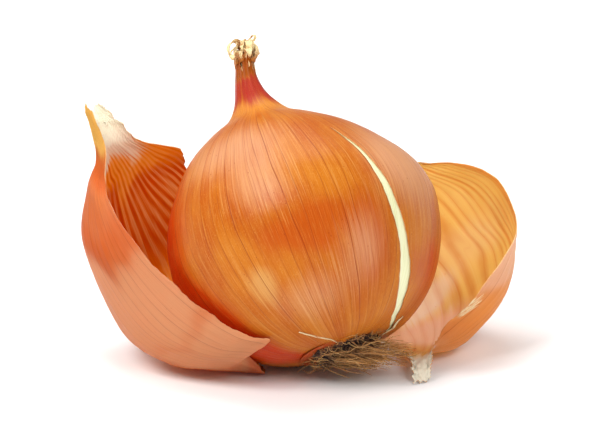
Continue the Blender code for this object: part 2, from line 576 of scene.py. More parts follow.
@dataclass(frozen=True)
class PaperFinish:
    """A thin torn or crumpled scrap of skin, of one colour that fades along it."""

    name: str
    root: Colour
    tip: Colour
    translucency: float = 0.3
    roughness: float = 0.55
    relief: float = 0.00012
    streak_grain: Stretch = (3.0, 3.0, 0.5)

    def build(self) -> bpy.types.Material:
        """Makes the material.

        Returns:
            The finished material.
        """
        shader = Shader(bpy.data.materials.new(self.name))
        streaks = shader.noise(shader.grain().stretched(*self.streak_grain), 4.0)
        tints: Tints = [
            ((shader.attribute("along") + (streaks - 0.5) * 0.8).step(0.1, 0.75), self.tip),
            (streaks.step(0.52, 0.3) * 0.5, self.root),
        ]
        surface = shader.principled({
            "Base Color": shader.layered(self.root, tints),
            "Roughness": streaks * 0.2 + (self.roughness - 0.1),
            "Normal": shader.bump(streaks, self.relief),
            "Sheen Weight": 0.1,
        })
        return shader.finish(shader.mixed(self.translucency, surface, shader.through(self.root, tints)))


@dataclass(frozen=True)
class FleshFinish:
    """Moist cream flesh with faint green lines along the grain."""

    name: str = "cream_flesh"
    base: Colour = linear(232, 232, 188)
    line: Colour = linear(200, 202, 118)
    bloom: Colour = linear(250, 244, 220)
    relief: float = 0.00008
    line_grain: Stretch = (2.2, 2.2, 0.03)
    cloud_grain: Stretch = (0.2, 0.2, 0.1)

    def build(self) -> bpy.types.Material:
        """Makes the material.

        Returns:
            The finished material.
        """
        shader = Shader(bpy.data.materials.new(self.name))
        grain = shader.grain()
        lines = shader.noise(grain.stretched(*self.line_grain), 4.0)
        clouds = shader.noise(grain.stretched(*self.cloud_grain), 2.0)
        tints: Tints = [
            (lines.step(0.48, 0.7) * 0.55, self.line),
            (clouds.step(0.5, 0.8) * 0.3, self.bloom),
        ]
        return shader.finish(shader.principled({
            "Base Color": shader.layered(self.base, tints),
            "Roughness": lines * 0.2 + 0.3,
            "Normal": shader.bump(lines, self.relief),
            "Coat Weight": 0.3,
            "Coat Roughness": 0.2,
        }))


@dataclass(frozen=True)
class FibreFinish:
    """Dry fibres, darker towards the end they grow from and different one by one."""

    name: str
    root: Colour
    tip: Colour
    odd: Colour
    relief: float = 0.00008
    mottle_grain: Stretch = (0.9, 0.9, 0.9)

    def build(self) -> bpy.types.Material:
        """Makes the material.

        Returns:
            The finished material.
        """
        shader = Shader(bpy.data.materials.new(self.name))
        shade = shader.attribute("shade")
        mottle = shader.noise(shader.grain().stretched(*self.mottle_grain))
        tints: Tints = [
            ((shader.attribute("along") + (mottle - 0.5) * 0.6).step(0.05, 0.75), self.tip),
            (shade.step(0.6, 1.0) * 0.7, self.odd),
            (shade.step(0.35, 0.0) * 0.6, self.root),
        ]
        return shader.finish(shader.principled({
            "Base Color": shader.layered(self.root, tints),
            "Roughness": mottle * 0.2 + 0.6,
            "Normal": shader.bump(mottle, self.relief),
            "Sheen Weight": 0.15,
        }))


@dataclass(frozen=True)
class FloorFinish:
    """A plain matt white table, very slightly mottled, that glows white from some way off.

    Distances are in metres from the object.
    """

    name: str = "white_table"
    dull: Colour = (0.9, 0.9, 0.9, 1.0)
    bright: Colour = (0.93, 0.93, 0.93, 1.0)
    glow: Colour = (0.8, 0.8, 0.8, 1.0)
    glow_start: float = 0.3
    glow_full: float = 0.75
    mottle_scale: float = 40.0

    def build(self) -> bpy.types.Material:
        """Makes the material.

        Returns:
            The finished material.
        """
        shader = Shader(bpy.data.materials.new(self.name))
        place = shader.field("ShaderNodeTexCoord", None, None, "Object")
        mottle = shader.noise(place, scale=self.mottle_scale)
        reach = shader.field("ShaderNodeVectorMath", {"operation": "LENGTH"}, {0: place}, "Value")
        far = reach.step(self.glow_start, self.glow_full)
        return shader.finish(shader.principled({
            "Base Color": shader.blend(mottle, self.dull, self.bright),
            "Roughness": mottle * 0.1 + 0.7,
            "Specular IOR Level": 0.2,
            "Emission Color": shader.blend(far, BLACK, self.glow),
            "Emission Strength": 1.0,
        }))


BULB_SKIN_FINISH = DrySkinFinish(
    name="bulb_skin_outside",
    base=linear(188, 108, 24),
    dark=linear(172, 80, 10),
    light=linear(214, 156, 78),
    vein=linear(132, 42, 8),
    through=linear(238, 165, 70),
    vein_strength=0.85,
    vein_width=0.062,
    fine_strength=0.34,
    zones=(
        Zone("pale", linear(208, 160, 92), 0.65),
        # On the bulb this darker tint is partly painted shade: a band below the front highlight and the
        # low right side.
        Zone("deep", linear(176, 72, 8), 0.8),
        # Painted shade: the flanks beside the left peel and low on the right are darkened to a deep
        # red-orange.
        Zone("flank", linear(182, 38, 0), 0.9),
        # Painted highlight: on the bulb this pale pinkish tint lies where the key light and the light from
        # above fall.
        Zone("blush", linear(204, 150, 112), 0.75),
        Zone("honey", linear(218, 146, 60), 0.85),
        Zone("crimson", linear(164, 32, 30), 0.92),
        Zone("husk", linear(148, 66, 0), 0.95),
        Zone("fray", linear(238, 214, 160), 0.9),
    ),
    translucency=0.0,
)
BULB_SKIN_INSIDE = PaperFinish("bulb_skin_inside", linear(232, 160, 90), linear(240, 200, 140), 0.1)
BULB_SKIN_EDGE = PaperFinish("bulb_skin_edge", linear(206, 120, 60), linear(236, 190, 130), 0.1)

LEFT_OUTSIDE = DrySkinFinish(
    name="left_peel_outside",
    base=linear(202, 120, 64),
    dark=linear(188, 98, 40),
    light=linear(224, 164, 112),
    vein=linear(160, 66, 26),
    through=linear(240, 166, 78),
    zones=(
        Zone("pale", linear(230, 178, 130), 0.85),
        Zone("deep", linear(202, 92, 24), 0.7),
        Zone("blush", linear(222, 150, 108), 0.7),
        Zone("honey", linear(240, 198, 106), 0.95, 0.8, 0.0, 0.3),
        Zone("crimson", linear(206, 74, 22), 0.5),
    ),
    vein_strength=0.26,
    fine_strength=0.3,
    translucency=0.5,
)
RIGHT_OUTSIDE = DrySkinFinish(
    name="right_peel_outside",
    base=linear(226, 164, 120),
    dark=linear(216, 140, 86),
    light=linear(238, 196, 160),
    vein=linear(176, 86, 44),
    through=linear(250, 204, 140),
    zones=(
        Zone("pale", linear(244, 216, 200), 0.9),
        Zone("low", linear(216, 118, 52), 0.7),
        Zone("rim", linear(238, 196, 168), 0.6, 0.5, 0.4),
        Zone("cream", linear(255, 250, 234), 0.97, 1.0, 0.9, 0.8),
    ),
    vein_strength=0.4,
    fine_strength=0.25,
    translucency=0.62,
)
LEFT_INSIDE = DrySkinFinish(
    name="left_peel_inside",
    base=linear(246, 146, 16),
    dark=linear(240, 112, 0),
    light=linear(250, 172, 36),
    vein=linear(196, 54, 0),
    through=linear(255, 188, 50),
    zones=(
        # Painted shade: the inside is darkened to a deep red where it faces away from the light.
        Zone("deep", linear(192, 30, 0), 0.92, 0.7),
        # Painted light: a brighter yellow glow where light shines through the skin.
        Zone("bright", linear(250, 184, 70), 0.85, 0.9),
        Zone("cream", linear(255, 252, 228), 0.97, 1.0, 0.66, 0.85),
    ),
    vein_strength=0.3,
    band_strength=0.62,
    comb=0.6,
    fine_strength=0.3,
    translucency=0.68,
    coat=0.0,
    shine=0.02,
)
RIGHT_INSIDE = DrySkinFinish(
    name="right_peel_inside",
    base=linear(248, 220, 142),
    dark=linear(242, 196, 104),
    light=linear(254, 238, 186),
    vein=linear(222, 132, 40),
    through=linear(254, 238, 162),
    zones=(
        Zone("deep", linear(224, 124, 36), 0.75, 0.7),
        # Painted light: a brighter field where light shines through the skin.
        Zone("bright", linear(255, 236, 176), 0.85, 0.9),
        Zone("blush", linear(246, 202, 178), 0.9, 0.8, 0.38, 0.3),
        Zone("gleam", linear(255, 246, 232), 0.85, 1.0, 0.15, 0.6),
        Zone("cream", linear(255, 248, 226), 0.97, 1.0, 0.5, 0.7),
    ),
    vein_strength=0.3,
    band_strength=0.62,
    fine_strength=0.25,
    translucency=0.62,
    roughness=0.32,
    coat=0.6,
    shine=0.2,
)
PEEL_EDGE = PaperFinish("peel_edge", linear(240, 170, 100), linear(250, 222, 170), 0.3)
SCRAP = PaperFinish("cream_scrap", linear(222, 160, 80), linear(244, 230, 186), 0.3)
NECK_SCRAP = PaperFinish("neck_scrap", linear(190, 112, 24), linear(248, 228, 172), 0.12)
NECK_FIBRE = FibreFinish("neck_fibre", linear(190, 130, 60), linear(240, 220, 170), linear(246, 236, 206))
ROOT_FIBRE = FibreFinish("root_fibre", linear(46, 20, 8), linear(178, 124, 64), linear(208, 166, 104))
TORN_FIBRE = FibreFinish("torn_fibre", linear(232, 190, 130), linear(244, 222, 176), linear(246, 230, 186))
ROOT_PLATE = FibreFinish("root_plate", linear(40, 20, 12), linear(74, 40, 22), linear(110, 66, 36))


# ---------------------------------------------------------------- surfaces


@dataclass
class Surface:
    """A grid of points on a skin, in millimetres, with what its finish reads at each point."""

    points: Array
    masks: dict[str, Array]
    grain: Array
    loop: bool = False

    def normals(self) -> Array:
        """The direction in which the skin faces at each point.

        Returns:
            Unit vectors.
        """
        rows = np.gradient(self.points, axis=0)
        columns = np.gradient(self.points, axis=1)
        if self.loop:
            seam = self.points[:, 1] - self.points[:, -2]
            columns[:, 0] = columns[:, -1] = seam / 2
        return unit(np.cross(columns, rows))

    def raised(self, amount: Array) -> "Surface":
        """Moves every point along its normal by that many millimetres."""
        points = self.points + self.normals() * amount[..., None]
        return Surface(points, self.masks, self.grain, self.loop)

    def flipped(self) -> "Surface":
        """Turns the outside in, by taking the columns the other way round."""
        masks = {name: values[:, ::-1] for name, values in self.masks.items()}
        return Surface(self.points[:, ::-1], masks, self.grain[:, ::-1], self.loop)

    def on_floor(self) -> "Surface":
        """Keeps every point on or above the floor.

        Returns:
            The surface.
        """
        points = self.points.copy()
        points[..., 2] = np.maximum(points[..., 2], 0.0)
        return Surface(points, self.masks, self.grain, self.loop)

    def to_piece(self, name: str, finishes: list[bpy.types.Material],
                 thickness: float) -> bpy.types.Object:
        """Makes the mesh: a closed shell if it has a thickness.

        Args:
            name: The piece's name.
            finishes: The materials of its outside, inside and edge.
            thickness: Wall thickness in millimetres, laid inward, or 0 for none.

        Returns:
            The piece.
        """
        rows, columns = self.points.shape[:2]
        index = np.arange(rows * columns).reshape(rows, columns)
        quads = np.stack([index[:-1, :-1], index[:-1, 1:], index[1:, 1:], index[1:, :-1]], axis=-1)
        quads = quads.reshape(-1, 4)
        mesh = bpy.data.meshes.new(name)
        mesh.from_pydata((self.points.reshape(-1, 3) * MM).tolist(), [], quads.tolist())
        corners = quads.reshape(-1)
        for label, values in self.masks.items():
            store(mesh, label, values.reshape(-1)[corners], "CORNER")
        store(mesh, "grain", self.grain.reshape(-1, 3)[corners], "CORNER")
        if self.loop:
            weld(mesh)
        piece = dressed(name, mesh, finishes)
        if thickness > 0:
            wall = piece.modifiers.new("thickness", "SOLIDIFY")
            wall.thickness = thickness * MM
            wall.offset = -1.0
            wall.use_even_offset = False
            wall.material_offset = 1
            wall.material_offset_rim = 2
        return piece


def store(mesh: bpy.types.Mesh, label: str, values: Array, domain: str) -> None:
    """Keeps a number or a vector for every corner or point of a mesh.

    Args:
        mesh: The mesh.
        label: The attribute's name.
        values: One row for each corner or point.
        domain: CORNER or POINT.
    """
    kind, key = ("FLOAT_VECTOR", "vector") if values.ndim > 1 else ("FLOAT", "value")
    attribute = mesh.attributes.new(label, kind, domain)
    attribute.data.foreach_set(key, values.astype(np.float32).reshape(-1))


def weld(mesh: bpy.types.Mesh) -> None:
    """Joins points that lie on each other and drops faces without area.

    Args:
        mesh: The mesh to clean.
    """
    bm = bmesh.new()
    bm.from_mesh(mesh)
    bmesh.ops.remove_doubles(bm, verts=bm.verts, dist=WELD_DISTANCE)
    bm.to_mesh(mesh)
    bm.free()


def in_scene(name: str, data: bpy.types.ID) -> bpy.types.Object:
    """Makes an object of a mesh, light or camera and puts it in the scene.

    Args:
        name: The object's name.
        data: The mesh, light or camera.

    Returns:
        The object.
    """
    made = bpy.data.objects.new(name, data)
    bpy.context.scene.collection.objects.link(made)
    return made


def dressed(name: str, mesh: bpy.types.Mesh, finishes: list[bpy.types.Material]) -> bpy.types.Object:
    """Makes a smooth object of a mesh, with these materials.

    Args:
        name: The object's name.
        mesh: Its mesh.
        finishes: Its materials, in the order of its slots.

    Returns:
        The object.
    """
    mesh.shade_smooth()
    for finish in finishes:
        mesh.materials.append(finish)
    return in_scene(name, mesh)


def place(piece: bpy.types.Object, node: Node, slot: Slot) -> None:
    """Hangs a piece on the model's body, hides the CAD node that it stands for and logs it.

    Args:
        piece: The piece.
        node: The CAD node that it replaces.
        slot: The slot that its finish comes from. Not used.
    """
    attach(piece, BODY)
    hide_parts(node.value)
    log.info("%s: %d faces, for %s", piece.name, len(piece.data.polygons), node.value)


@dataclass
class Bundle:
    """Thin tapering strands joined in one mesh."""

    sides: int = 6
    vertices: list[Array] = field(default_factory=list)
    faces: list[list[int]] = field(default_factory=list)
    along: list[Array] = field(default_factory=list)
    shade: list[Array] = field(default_factory=list)
    count: int = 0

    def add(self, path: Array, radii: Array, shade: float) -> None:
        """Adds a strand.

        Args:
            path: The points of its middle line, in millimetres.
            radii: Its radius at each point.
            shade: From 0 to 1, what its finish makes of it.
        """
        steps = len(path)
        ahead = unit(np.gradient(path, axis=0))
        side = unit(np.cross(ahead, np.array([0.13, 0.31, 0.94])))
        other = np.cross(ahead, side)
        turn = np.linspace(0, 2 * math.pi, self.sides, endpoint=False)
        ring = side[:, None] * np.cos(turn)[None, :, None] + other[:, None] * np.sin(turn)[None, :, None]
        points = path[:, None] + ring * radii[:, None, None]
        index = np.arange(steps * self.sides).reshape(steps, self.sides) + self.count
        after = np.roll(index, -1, axis=1)
        quads = np.stack([index[:-1], index[1:], after[1:], after[:-1]], axis=-1).reshape(-1, 4)
        self.vertices.append(points.reshape(-1, 3))
        self.faces.extend([*quads.tolist(), index[0].tolist(), index[-1][::-1].tolist()])
        self.along.append(np.repeat(np.linspace(0, 1, steps), self.sides))
        self.shade.append(np.full(steps * self.sides, shade))
        self.count += steps * self.sides

    def to_piece(self, name: str, finish: bpy.types.Material) -> bpy.types.Object:
        """Makes the mesh of every strand added so far.

        Args:
            name: The piece's name.
            finish: Its material.

        Returns:
            The piece.
        """
        points = np.concatenate(self.vertices)
        points[:, 2] = np.maximum(points[:, 2], STRAND_CLEARANCE)
        mesh = bpy.data.meshes.new(name)
        mesh.from_pydata((points * MM).tolist(), [], self.faces)
        for label, values in (("along", self.along), ("shade", self.shade)):
            store(mesh, label, np.concatenate(values), "POINT")
        store(mesh, "grain", points, "POINT")
        return dressed(name, mesh, [finish])


# ---------------------------------------------------------------- bulb


@dataclass(frozen=True)
class BulbShape:
    """The grown form of the bulb and where it stands. Heights are from its widest ring."""

    set_out: Array
    centre: Place = (0.0, -6.0, 37.2)
    radius: float = 40.2
    lean_back: float = math.radians(28)
    lean_left: float = math.radians(22)
    rest_depth: float = 0.12
    lopsided: float = 0.14
    neck_start: float = 46.0
    neck_bend: float = 0.014
    profile: Pairs = (
        (0.26, -35.0), (0.38, -34.6), (0.56, -31.8), (0.76, -25.2), (0.91, -15.6), (0.985, -6.0),
        (1.0, 1.0), (0.945, 10.4), (0.81, 19.4), (0.63, 27.8), (0.425, 33.8), (0.245, 38.2),
        (0.15, 43.2), (0.1, 48.5), (0.073, 54.0), (0.074, 57.0), (0.085, 60.5),
    )

    def outline(self, shares: Array) -> tuple[Array, Array]:
        """Reads the outline at even steps of its length.

        Args:
            shares: From 0 at the rim of the root opening to 1 at the tip of the neck.

        Returns:
            Radius and height in millimetres.
        """
        knots = np.array(self.profile) * [self.radius, 1.0]
        dense = np.linspace(0, len(knots) - 1, 600)
        line = curve_at(knots[:, None], dense)
        run = np.concatenate([[0], np.cumsum(np.linalg.norm(np.diff(line, axis=0), axis=1))])
        wanted = shares * run[-1]
        return np.interp(wanted, run, line[:, 0]), np.interp(wanted, run, line[:, 1])

    def grown(self, radius: Array, angle: Array, height: Array) -> Array:
        """Points of the bulb in its own axes: one shoulder low, the neck bent.

        Args:
            radius: Distance from the bulb's axis.
            angle: Angle about the axis.
            height: Height along the axis.

        Returns:
            The points in millimetres.
        """
        x, y = radius * np.cos(angle), radius * np.sin(angle)
        drop = self.lopsided * np.maximum(height, 0) * x / self.radius
        bent = x + self.neck_bend * np.maximum(height - self.neck_start, 0) ** 2
        return np.stack([bent, y, height - drop], axis=-1)

    def lobes(self, angle: Array, height: Array) -> Array:
        """How far the grown form stands out from the turned one, in millimetres."""
        x, y = 2.2 * np.cos(angle), 2.2 * np.sin(angle)
        return 0.4 * waves(31, x, y, height * 0.03, octaves=2) * ease(height, 44, 30)

    def axes(self) -> Array:
        """The bulb's own axes as the columns of a matrix."""
        lean = Matrix.Rotation(-self.lean_left, 3, "Y") @ Matrix.Rotation(-self.lean_back, 3, "X")
        return np.array(lean)

    def lift(self) -> float:
        """How far the bulb is raised so that it sinks by its rest depth into the floor.

        Returns:
            The distance in millimetres.
        """
        shares, angles = np.meshgrid(np.linspace(0, 1, 300), np.linspace(-math.pi, math.pi, 361))
        radius, height = self.outline(shares)
        low = (self.grown(radius, angles, height) @ self.axes().T)[..., 2].min()
        return -low - self.centre[2] - self.rest_depth

    def placed(self, points: Array) -> Array:
        """Takes points from the bulb's own axes to the model's frame, in millimetres."""
        return points @ self.axes().T + self.set_out + np.array(self.centre) + [0, 0, self.lift()]


@dataclass(frozen=True)
class Spot:
    """A soft patch on the bulb.

    It has the angle of its middle in degrees, its height, half its width in degrees, half its height and
    its strength.
    """

    at: float
    high: float
    wide: float
    tall: float
    strength: float = 1.0

    def mask(self, angle: Array, height: Array) -> Array:
        """How strong the patch is at each angle and height.

        Args:
            angle: Angle about the bulb's axis.
            height: Height along the axis.

        Returns:
            Values from 0 to the patch's strength.
        """
        away = (angle - math.radians(self.at) + math.pi) % (2 * math.pi) - math.pi
        fall = (np.degrees(away) / self.wide) ** 2 + ((height - self.high) / self.tall) ** 2
        return self.strength * np.exp(-fall)


@dataclass
class BulbSkin:
    """The dry skin on the bulb, with its veins, its split and its neck."""

    shape: BulbShape
    rows: int = 150
    columns: int = 320
    veins: int = 68
    thickness: float = 0.22
    split_route: Pairs = (
        (-35.0, 2.0), (-34.3, -16.0), (-33.4, -25.5), (-30.6, -31.0), (-26.6, -34.3), (-19.7, -37.3),
        (-14.5, -39.3), (-6.6, -42.2), (2.6, -45.0), (13.1, -47.2), (22.0, -49.2),
    )
    split_half_width: float = 2.6
    split_taper: float = 0.8
    pale_spots: tuple[Spot, ...] = (Spot(-109, -18, 9, 6), Spot(70, -8, 16, 12, 0.8))
    pale_cloud: Spot = Spot(-100, -20, 50, 14, 0.3)
    # Darker skin, partly painted shade: the band below the front highlight and the low right side.
    deep_and_shade_spots: tuple[Spot, ...] = (
        Spot(-84, -8, 26, 6), Spot(-56, -14, 10, 12, 0.7), Spot(120, 6, 30, 7, 0.6),
        Spot(-6, -24, 22, 9, 1.1),
    )
    # Painted shade: the left flank beside the left peel, its low part and the low right side.
    painted_shade_spots: tuple[Spot, ...] = (
        Spot(-163, -2, 26, 30, 1.15), Spot(-150, -22, 15, 13, 1.1), Spot(-10, -23, 18, 10, 0.8),
    )
    # Painted highlight and painted light from above: the patch under the key light, the paler top, the
    # pinkish upper right and the paler low front.
    painted_light_spots: tuple[Spot, ...] = (
        Spot(-28, 6, 20, 16), Spot(-94, 10, 16, 10, 0.68), Spot(-108, 24, 40, 8, 0.7),
        Spot(-92, -25, 24, 7, 0.55), Spot(-60, -16, 12, 10, 0.6), Spot(60, 20, 30, 10, 0.5),
    )

    def split(self, radius: Array, height: Array) -> tuple[Array, Array]:
        """The split at each height.

        Args:
            radius: Radius of the bulb there.
            height: Height there.

        Returns:
            The angle of its middle and half the angle that it takes up.
        """
        heights, bearings = zip(*self.split_route)
        share = np.clip((height - heights[0]) / (heights[-1] - heights[0]), 0, 1)
        angle = np.radians(np.interp(height, heights, bearings))
        pinch = np.minimum(1.0, 0.5 + 3 * share)
        width = self.split_half_width * pinch * (1 - share) ** self.split_taper
        width = width * (1 + 0.12 * waves(5, height * 0.25) * (share < 1))
        return angle, width / radius

    def masks(self, angle: Array, height: Array, across: Array) -> dict[str, Array]:
        """Where each tint lies.

        Args:
            angle: Angle about the bulb's axis.
            height: Height of each point.
            across: Count of veins.

        Returns:
            The masks by name.
        """
        def patches(spots: tuple[Spot, ...]) -> Array:
            """The sum of the spots."""
            return sum(spot.mask(angle, height) for spot in spots)

        x, y = np.cos(angle), np.sin(angle)
        drift = waves(11, x * 5, y * 5, height * 0.08)
        fringe = waves(12, x * 14, y * 14, height * 0.02)
        teeth = waves(13, x * 30, y * 30, height * 0.01, octaves=3)
        crimson = ease(height + fringe * 0.7, 37.0, 46.5) * ease(height + teeth, 52.4, 48.6)
        cloud = drift * self.pale_cloud.mask(angle, height)
        return {
            "across": across,
            "along": ease(height, -35, 60),
            "pale": np.clip(patches(self.pale_spots) + cloud, 0, 1),
            "deep": np.clip(patches(self.deep_and_shade_spots) + 0.25 * drift, 0, 1),
            # Painted shade on the flanks, darker towards the bottom.
            "flank": np.clip(patches(self.painted_shade_spots) + 0.2 * drift * ease(height, 10, -10), 0, 1),
            # Painted highlight and painted light from above.
            "blush": np.clip(patches(self.painted_light_spots), 0, 1),
            "honey": 0.6 * ease(height + fringe * 1.4, 30.0, 40.0) * ease(height, 46.0, 41.0),
            "crimson": crimson * (0.9 + 0.15 * fringe),
            "husk": ease(height + teeth, 49.6, 51.8),
            "fray": ease(height + teeth * 0.8, 55.8, 58.2),
        }

    def surface(self) -> Surface:
        """The outside of the skin.

        Returns:
            The surface, placed in the model's frame.
        """
        shape = self.shape
        column = np.linspace(0, 1, self.columns + 1)[None, :]
        turn = 2 * math.pi * column
        ragged = 0.975 + 0.02 * waves(3, np.cos(turn) * 12, np.sin(turn) * 12)
        shares = np.linspace(0, 1, self.rows)[:, None] * ragged
        radius, height = shape.outline(shares)
        middle, half = self.split(radius, height)
        angle = middle + half + (2 * math.pi - 2 * half) * column
        x, y = np.cos(angle), np.sin(angle)
        wobble = 0.22 * waves(21, x * 6, y * 6, height * 0.03)
        wobble = wobble + 0.08 * waves(22, x * 20, y * 20, height * 0.1)
        across = angle / (2 * math.pi) * self.veins + wobble * ease(height, 40, 25)
        crest = np.abs((across % 1.0) - 0.5)
        neck = ease(height, 40, 50)
        pleats = 0.34 * neck * waves(32, x * 4.2, y * 4.2, height * 0.04, octaves=3)
        ribs = 0.05 * ease(crest, 0.2, 0.0) * (1 - neck)
        lip = half * radius > 0
        reach = np.minimum(column, 1 - column) * 2 * math.pi * radius
        lift = 0.1 * np.exp(-reach / 1.2) * lip * ease(height, 20, 8)
        points = shape.placed(shape.grown(radius, angle, height))
        run = height * 1.1
        grain = np.stack([shape.radius * x, shape.radius * y, run * np.ones_like(x)], axis=-1)
        surface = Surface(points, self.masks(angle, height, across), grain, loop=True)
        return surface.raised(shape.lobes(angle, height) + pleats + ribs + lift).on_floor()

    def build(self) -> None:
        """Makes the skin."""
        finishes = [f.build() for f in (BULB_SKIN_FINISH, BULB_SKIN_INSIDE, BULB_SKIN_EDGE)]
        piece = self.surface().to_piece("bulb_dry_skin", finishes, self.thickness)
        place(piece, Node.SKIN, Slot.DRY_SKIN)


@dataclass
class BulbFlesh:
    """The flesh that shows in the split."""

    shape: BulbShape
    inset: float = 0.32
    top: float = 44.0
    rows: int = 90
    columns: int = 128

    def build(self) -> None:
        """Makes the flesh, closed at both ends."""
        shape = self.shape
        turn = np.linspace(-math.pi, math.pi, self.columns + 1)[None, :]
        radius, height = shape.outline(np.linspace(0, 0.9, self.rows)[:, None])
        keep = height[:, 0] < self.top
        radius, height = radius[keep], height[keep]
        radius = np.concatenate([[[0.0]], radius, [[0.0]]])
        height = np.concatenate([height[:1] + 0.6, height, height[-1:] + 0.5])
        angle = turn * np.ones_like(radius)
        x, y = np.cos(angle), np.sin(angle)
        points = shape.placed(shape.grown(radius, angle, height * np.ones_like(angle)))
        grain = np.stack([shape.radius * x, shape.radius * y, height * np.ones_like(x)], axis=-1)
        surface = Surface(points, {"along": ease(height * np.ones_like(x), -35, 60)}, grain, loop=True)
        depth = shape.lobes(angle, height) - self.inset + 0.04 * waves(41, x * 16, y * 16, octaves=3)
        piece = surface.raised(depth).on_floor().to_piece("bulb_flesh_solid", [FleshFinish().build()], 0)
        place(piece, Node.FLESH, Slot.FLESH)


@dataclass(frozen=True)
class Curl:
    """A scrap of dry skin that grows from the neck and curls away.

    It grows at an angle, a radius and a height of the neck. It leans out, and its tip curls on by so much
    more. Twist turns its face, and cup is how far its edges stand out. Angles are in degrees.
    """

    angle: float
    start: float
    length: float
    width: float
    radius: float
    lean: float
    curl: float
    twist: float = 0.0
    cup: float = 0.3


@dataclass
class NeckFrill:
    """The frayed scraps at the top of the bulb's neck."""

    shape: BulbShape
    curls: tuple[Curl, ...] = (
        Curl(176, 55.6, 8.4, 3.2, 3.3, 8, -30, 10, 0.6),
        Curl(-148, 56.0, 6.8, 3.0, 3.1, 10, -30, -20, 0.6),
        Curl(-112, 56.0, 6.6, 3.4, 2.9, 10, 190, 10, 0.5),
        Curl(-66, 56.0, 7.4, 3.2, 2.9, 12, 240, -10, 0.5),
        Curl(-15, 55.0, 6.4, 2.8, 3.1, 48, -95, 0, 0.5),
        Curl(24, 55.6, 6.4, 3.2, 3.0, 20, -40, -10, 0.5),
        Curl(68, 55.6, 8.2, 3.4, 2.9, 8, -34, 14, 0.6),
        Curl(108, 56.0, 7.0, 3.2, 2.9, 10, 120, 0, 0.5),
        Curl(142, 55.6, 8.6, 3.2, 2.9, 6, -28, -18, 0.6),
        Curl(-130, 57.2, 16.4, 2.8, 1.3, -8, 320, 20, 0.4),
        Curl(-62, 57.6, 11.8, 2.8, 1.2, -6, 330, 30, 0.4),
        Curl(150, 57.4, 14.6, 2.8, 1.0, 2, -300, -30, 0.4),
        Curl(100, 57.6, 12.8, 3.2, 1.2, -2, -300, 30, 0.4),
        Curl(180, 58.2, 10.4, 2.6, 1.2, -4, 330, -30, 0.4),
    )
    small: int = 12
    fibres: int = 22
    fibre_middle: float = 2.2
    size: float = 0.84
    thickness: float = 0.14
    rows: int = 44
    columns: int = 15

    def scrap(self, curl: Curl, seed: int) -> Surface:
        """The surface of one curl.

        Args:
            curl: Its sizes.
            seed: Picks its ragged edge.

        Returns:
            The surface, placed in the model's frame.
        """
        shape = self.shape
        s = np.linspace(0, 1, self.rows)
        bearing = math.radians(curl.angle)
        out = np.array([math.cos(bearing), math.sin(bearing), 0.0])
        round_ = np.array([-math.sin(bearing), math.cos(bearing), 0.0])
        up = np.array([0.0, 0.0, 1.0])
        lean = np.radians(curl.lean + curl.curl * s**1.6)
        ahead = np.cos(lean)[:, None] * up + np.sin(lean)[:, None] * out
        step = self.size * curl.length / (self.rows - 1)
        spine = np.concatenate([np.zeros((1, 3)), np.cumsum(ahead[:-1] * step, axis=0)])
        bend = shape.neck_bend * np.maximum(curl.start + spine[:, 2] - shape.neck_start, 0) ** 2
        base = curl.radius * out + np.array([0, 0, curl.start])
        spine = spine + base + np.stack([bend, 0 * bend, 0 * bend], axis=-1)
        turn = np.radians(curl.twist) * s
        face = np.cross(ahead, round_)
        side = np.cos(turn)[:, None] * round_ + np.sin(turn)[:, None] * face
        face = np.cross(ahead, side)
        w = np.linspace(-1, 1, self.columns)[None, :]
        ragged = 1 + 0.3 * waves(seed, s[:, None] * 14, w * 2)
        width = self.size * curl.width / 2 * (1 - 0.6 * s[:, None] ** 2.4) * ragged
        crumple = 0.15 * ease(s, 0.05, 0.4)[:, None] * waves(seed + 1, s[:, None] * 10, w * 2.8)
        points = (
            spine[:, None] + side[:, None] * (w * width)[..., None]
            + face[:, None] * (curl.cup * w**2 + crumple)[..., None]
        )
        along = s[:, None] * np.ones_like(w)
        grain = np.stack([w * width, along * curl.length, along + seed], axis=-1)
        return Surface(shape.placed(points), {"along": along}, grain)

    def build(self) -> None:
        """Makes each curl as a thin closed shell."""
        finish = NECK_SCRAP.build()
        for number, curl in enumerate(self.curls + self.tight()):
            surface = self.scrap(curl, 60 + 3 * number)
            piece = surface.to_piece(f"neck_curl_{number + 1:02d}", [finish] * 3, self.thickness)
            place(piece, Node.SKIN, Slot.DRY_SKIN)
        self.hooks()

    def tight(self) -> tuple[Curl, ...]:
        """Small tightly rolled scraps in the middle of the frill.

        Returns:
            The sizes of each scrap.
        """
        rng = np.random.default_rng(57)
        return tuple(
            Curl(
                angle=rng.uniform(-180, 180),
                start=rng.uniform(57.0, 61.5),
                length=rng.uniform(4.2, 6.6),
                width=rng.uniform(1.3, 2.2),
                radius=rng.uniform(0.6, 2.3),
                lean=rng.uniform(-5, 35),
                curl=rng.uniform(180, 380) * rng.choice([-1, 1]),
                twist=rng.uniform(-60, 60),
            )
            for _ in range(self.small)
        )

    def hooks(self) -> None:
        """Makes the fine hooked fibres that stand out between the curls."""
        rng = np.random.default_rng(55)
        fibres, steps = Bundle(sides=5), 18
        s = np.linspace(0, 1, steps)
        for _ in range(self.fibres):
            bearing = rng.uniform(-math.pi, math.pi)
            out = np.array([math.cos(bearing), math.sin(bearing), 0.0])
            start = out * rng.uniform(0.6, 2.6)
            start = start + [self.fibre_middle, 0.0, rng.uniform(57.5, 62.0)]
            lean = np.radians(rng.uniform(10, 70) + rng.uniform(60, 200) * s**1.4)
            step = rng.uniform(1.8, 3.6) / steps
            ahead = np.cos(lean)[:, None] * np.array([0.0, 0.0, 1.0]) + np.sin(lean)[:, None] * out
            path = self.shape.placed(start + np.cumsum(ahead * step, axis=0))
            fibres.add(path, rng.uniform(0.1, 0.2) * (1 - 0.6 * s), rng.uniform())
        piece = fibres.to_piece("neck_hooks", NECK_FIBRE.build())
        place(piece, Node.SKIN, Slot.DRY_SKIN)


